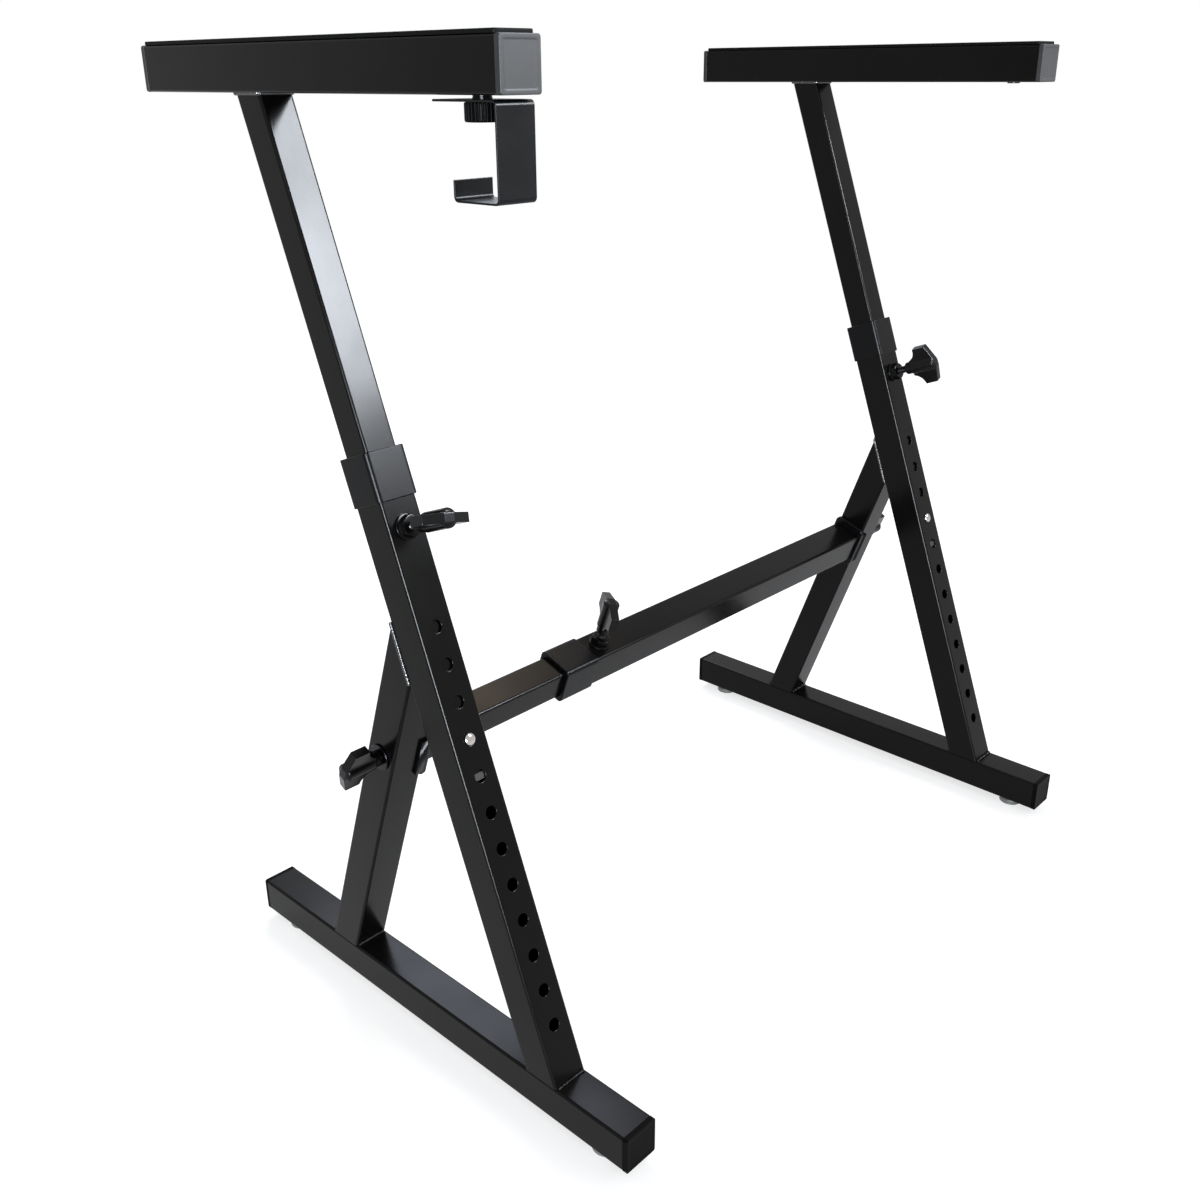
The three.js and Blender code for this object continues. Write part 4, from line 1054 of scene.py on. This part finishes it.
# %% Threaded inserts under the arms
INSERT_FLANGE = 6.3 * MM
INSERT_BODY = 4.8 * MM
INSERT_BORE = 3.1 * MM
for side in SIDES:
    low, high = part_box(f"{side}_arm_insert")
    rings = [(INSERT_FLANGE - 0.3 * MM, 0), (INSERT_FLANGE, 0.3 * MM), (INSERT_FLANGE, 1.2 * MM),
             (INSERT_BODY, 1.2 * MM), (INSERT_BODY, high.z - low.z)]
    insert = turned(f"{side}_threaded_insert", rings)
    cut(insert, upright("bore", INSERT_BORE, -MM, OVERRUN))
    middle = (low + high) / 2
    settle(insert, Matrix.Translation((middle.x, middle.y, low.z)))
    dress(smooth(insert, 40), black_zinc, f"{side}_post", f"{side}_arm_insert")
print("two inserts")

# %% [markdown]
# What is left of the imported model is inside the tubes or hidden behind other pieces. It keeps its
# shape and gets the same finishes.

# %% Finishes of the inner pieces
INNER_FINISHES = {"guide": cap_plastic, "spring": spring_steel, "screw": black_zinc}
for name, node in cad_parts.items():
    if not node.hide_render:
        kind = name.rsplit("_", 1)[1]
        node.data.materials.clear()
        node.data.materials.append(INNER_FINISHES[kind])
        print(f"{name} keeps its shape")

# %% [markdown]
# The camera stands where the photographer stood: to the left and in front of the stand, at about
# the height of the arms, and looks down. Its place and lens were worked out from the tubes' edges.

# %% Camera
FOCAL_PIXELS = 1241.7
FRAME_PIXELS = 1200
CAMERA_PLACE = (-0.9335, -0.7626, 0.8295)
CAMERA_YAW = math.radians(46.65)
CAMERA_PITCH = math.radians(-23.07)
CAMERA_ROLL = math.radians(-0.43)
lens_data = bpy.data.cameras.new("camera")
lens_data.sensor_width = 36
lens_data.lens = lens_data.sensor_width * FOCAL_PIXELS / FRAME_PIXELS
camera = bpy.data.objects.new("camera", lens_data)
bpy.context.scene.collection.objects.link(camera)
camera.location = CAMERA_PLACE
aim = Matrix.Rotation(-CAMERA_YAW, 4, "Z") @ Matrix.Rotation(math.pi / 2 + CAMERA_PITCH, 4, "X")
camera.rotation_euler = (aim @ Matrix.Rotation(CAMERA_ROLL, 4, "Z")).to_euler()
bpy.context.scene.camera = camera
print(f"lens {lens_data.lens:.2f} mm")

# %% [markdown]
# The stand is photographed on white. The floor is a large pale sheet, and the world behind it is
# white to the camera and to reflections, but lights the stand more gently.

# %% Floor
FLOOR_SIZE = 12
FLOOR_GAP = 0.0002


def seen_directly(nodes, links):
    """1 for rays of the camera, of reflections and through glass, and 0 for light."""
    path = nodes.new("ShaderNodeLightPath")
    camera_or_glossy = math_node(nodes, links, "MAXIMUM", path.outputs["Is Camera Ray"],
                                 path.outputs["Is Glossy Ray"])
    return math_node(nodes, links, "MAXIMUM", camera_or_glossy,
                     path.outputs["Is Transmission Ray"])


bpy.ops.mesh.primitive_plane_add(size=FLOOR_SIZE, location=(0, 0, -FLOOR_GAP))
floor = fresh("floor")
pale = bpy.data.materials.new("pale_floor")
pale.use_nodes = True
nodes, links = pale.node_tree.nodes, pale.node_tree.links
shader = nodes["Principled BSDF"]
shader.inputs["Base Color"].default_value = (0.6, 0.6, 0.6, 1)
shader.inputs["Roughness"].default_value = 0.9
shader.inputs["Specular IOR Level"].default_value = 0.1
glow = nodes.new("ShaderNodeEmission")
glow.inputs["Strength"].default_value = 0.7
seen_floor = nodes.new("ShaderNodeAddShader")
links.new(shader.outputs["BSDF"], seen_floor.inputs[0])
links.new(glow.outputs["Emission"], seen_floor.inputs[1])
choice = nodes.new("ShaderNodeMixShader")
links.new(seen_directly(nodes, links), choice.inputs["Fac"])
links.new(shader.outputs["BSDF"], choice.inputs[1])
links.new(seen_floor.outputs["Shader"], choice.inputs[2])
links.new(choice.outputs["Shader"], nodes["Material Output"].inputs["Surface"])
floor.data.materials.append(pale)
print("floor is", [round(v, 1) for v in floor.dimensions])

# %% World and lamps
world = bpy.data.worlds.new("studio")
bpy.context.scene.world = world
world.use_nodes = True
nodes, links = world.node_tree.nodes, world.node_tree.links
nodes.clear()
seen = nodes.new("ShaderNodeBackground")
seen.inputs["Color"].default_value = (1, 1, 1, 1)
seen.inputs["Strength"].default_value = 1.0
lighting = nodes.new("ShaderNodeBackground")
lighting.inputs["Color"].default_value = (0.93, 0.96, 1.0, 1)
lighting.inputs["Strength"].default_value = 0.55
both = nodes.new("ShaderNodeMixShader")
links.new(seen_directly(nodes, links), both.inputs["Fac"])
links.new(lighting.outputs["Background"], both.inputs[1])
links.new(seen.outputs["Background"], both.inputs[2])
output = nodes.new("ShaderNodeOutputWorld")
links.new(both.outputs["Shader"], output.inputs["Surface"])


def soft_box(name, place, aim_at, size, strength, colour=(1, 1, 1)):
    """A rectangular lamp, with the strength that its face shows."""
    lamp = bpy.data.lights.new(name, "AREA")
    lamp.shape = "RECTANGLE"
    lamp.size, lamp.size_y = size
    lamp.energy = strength * math.pi * size[0] * size[1]
    lamp.color = colour
    box = bpy.data.objects.new(name, lamp)
    bpy.context.scene.collection.objects.link(box)
    box.location = place
    box.visible_camera = False
    box.rotation_euler = (Vector(aim_at) - box.location).to_track_quat("-Z", "Y").to_euler()
    return box


soft_box("back_box", (1.0, 1.65, 2.15), (-0.365, 0, 0.05), (1.0, 1.0), 9.0, (0.78, 0.85, 1.0))
soft_box("warm_box", (1.1, 0.6, 2.25), (-0.2, 0, 0.3), (0.35, 0.5), 6.0, (1.0, 0.8, 0.6))
fill = soft_box("fill_box", (0.8, -2.4, 2.0), (0, 0, 0.5), (1.6, 1.2), 2.0)
fill.visible_glossy = False
post_box = soft_box("post_box", (1.06, -1.8, 1.9), (-0.365, 0.05, 0.65), (0.75, 0.85), 115.0,
                    (0.88, 0.93, 1.0))
post_box.visible_diffuse = False
edge_box = soft_box("edge_box", (-2.5, -1.9, 0.6), (-0.365, -0.1, 0.4), (1.2, 1.6), 80.0,
                    (0.85, 0.92, 1.0))
edge_box.visible_diffuse = False
bpy.context.scene.view_settings.view_transform = "Standard"
print(len(bpy.data.lights), "soft boxes")
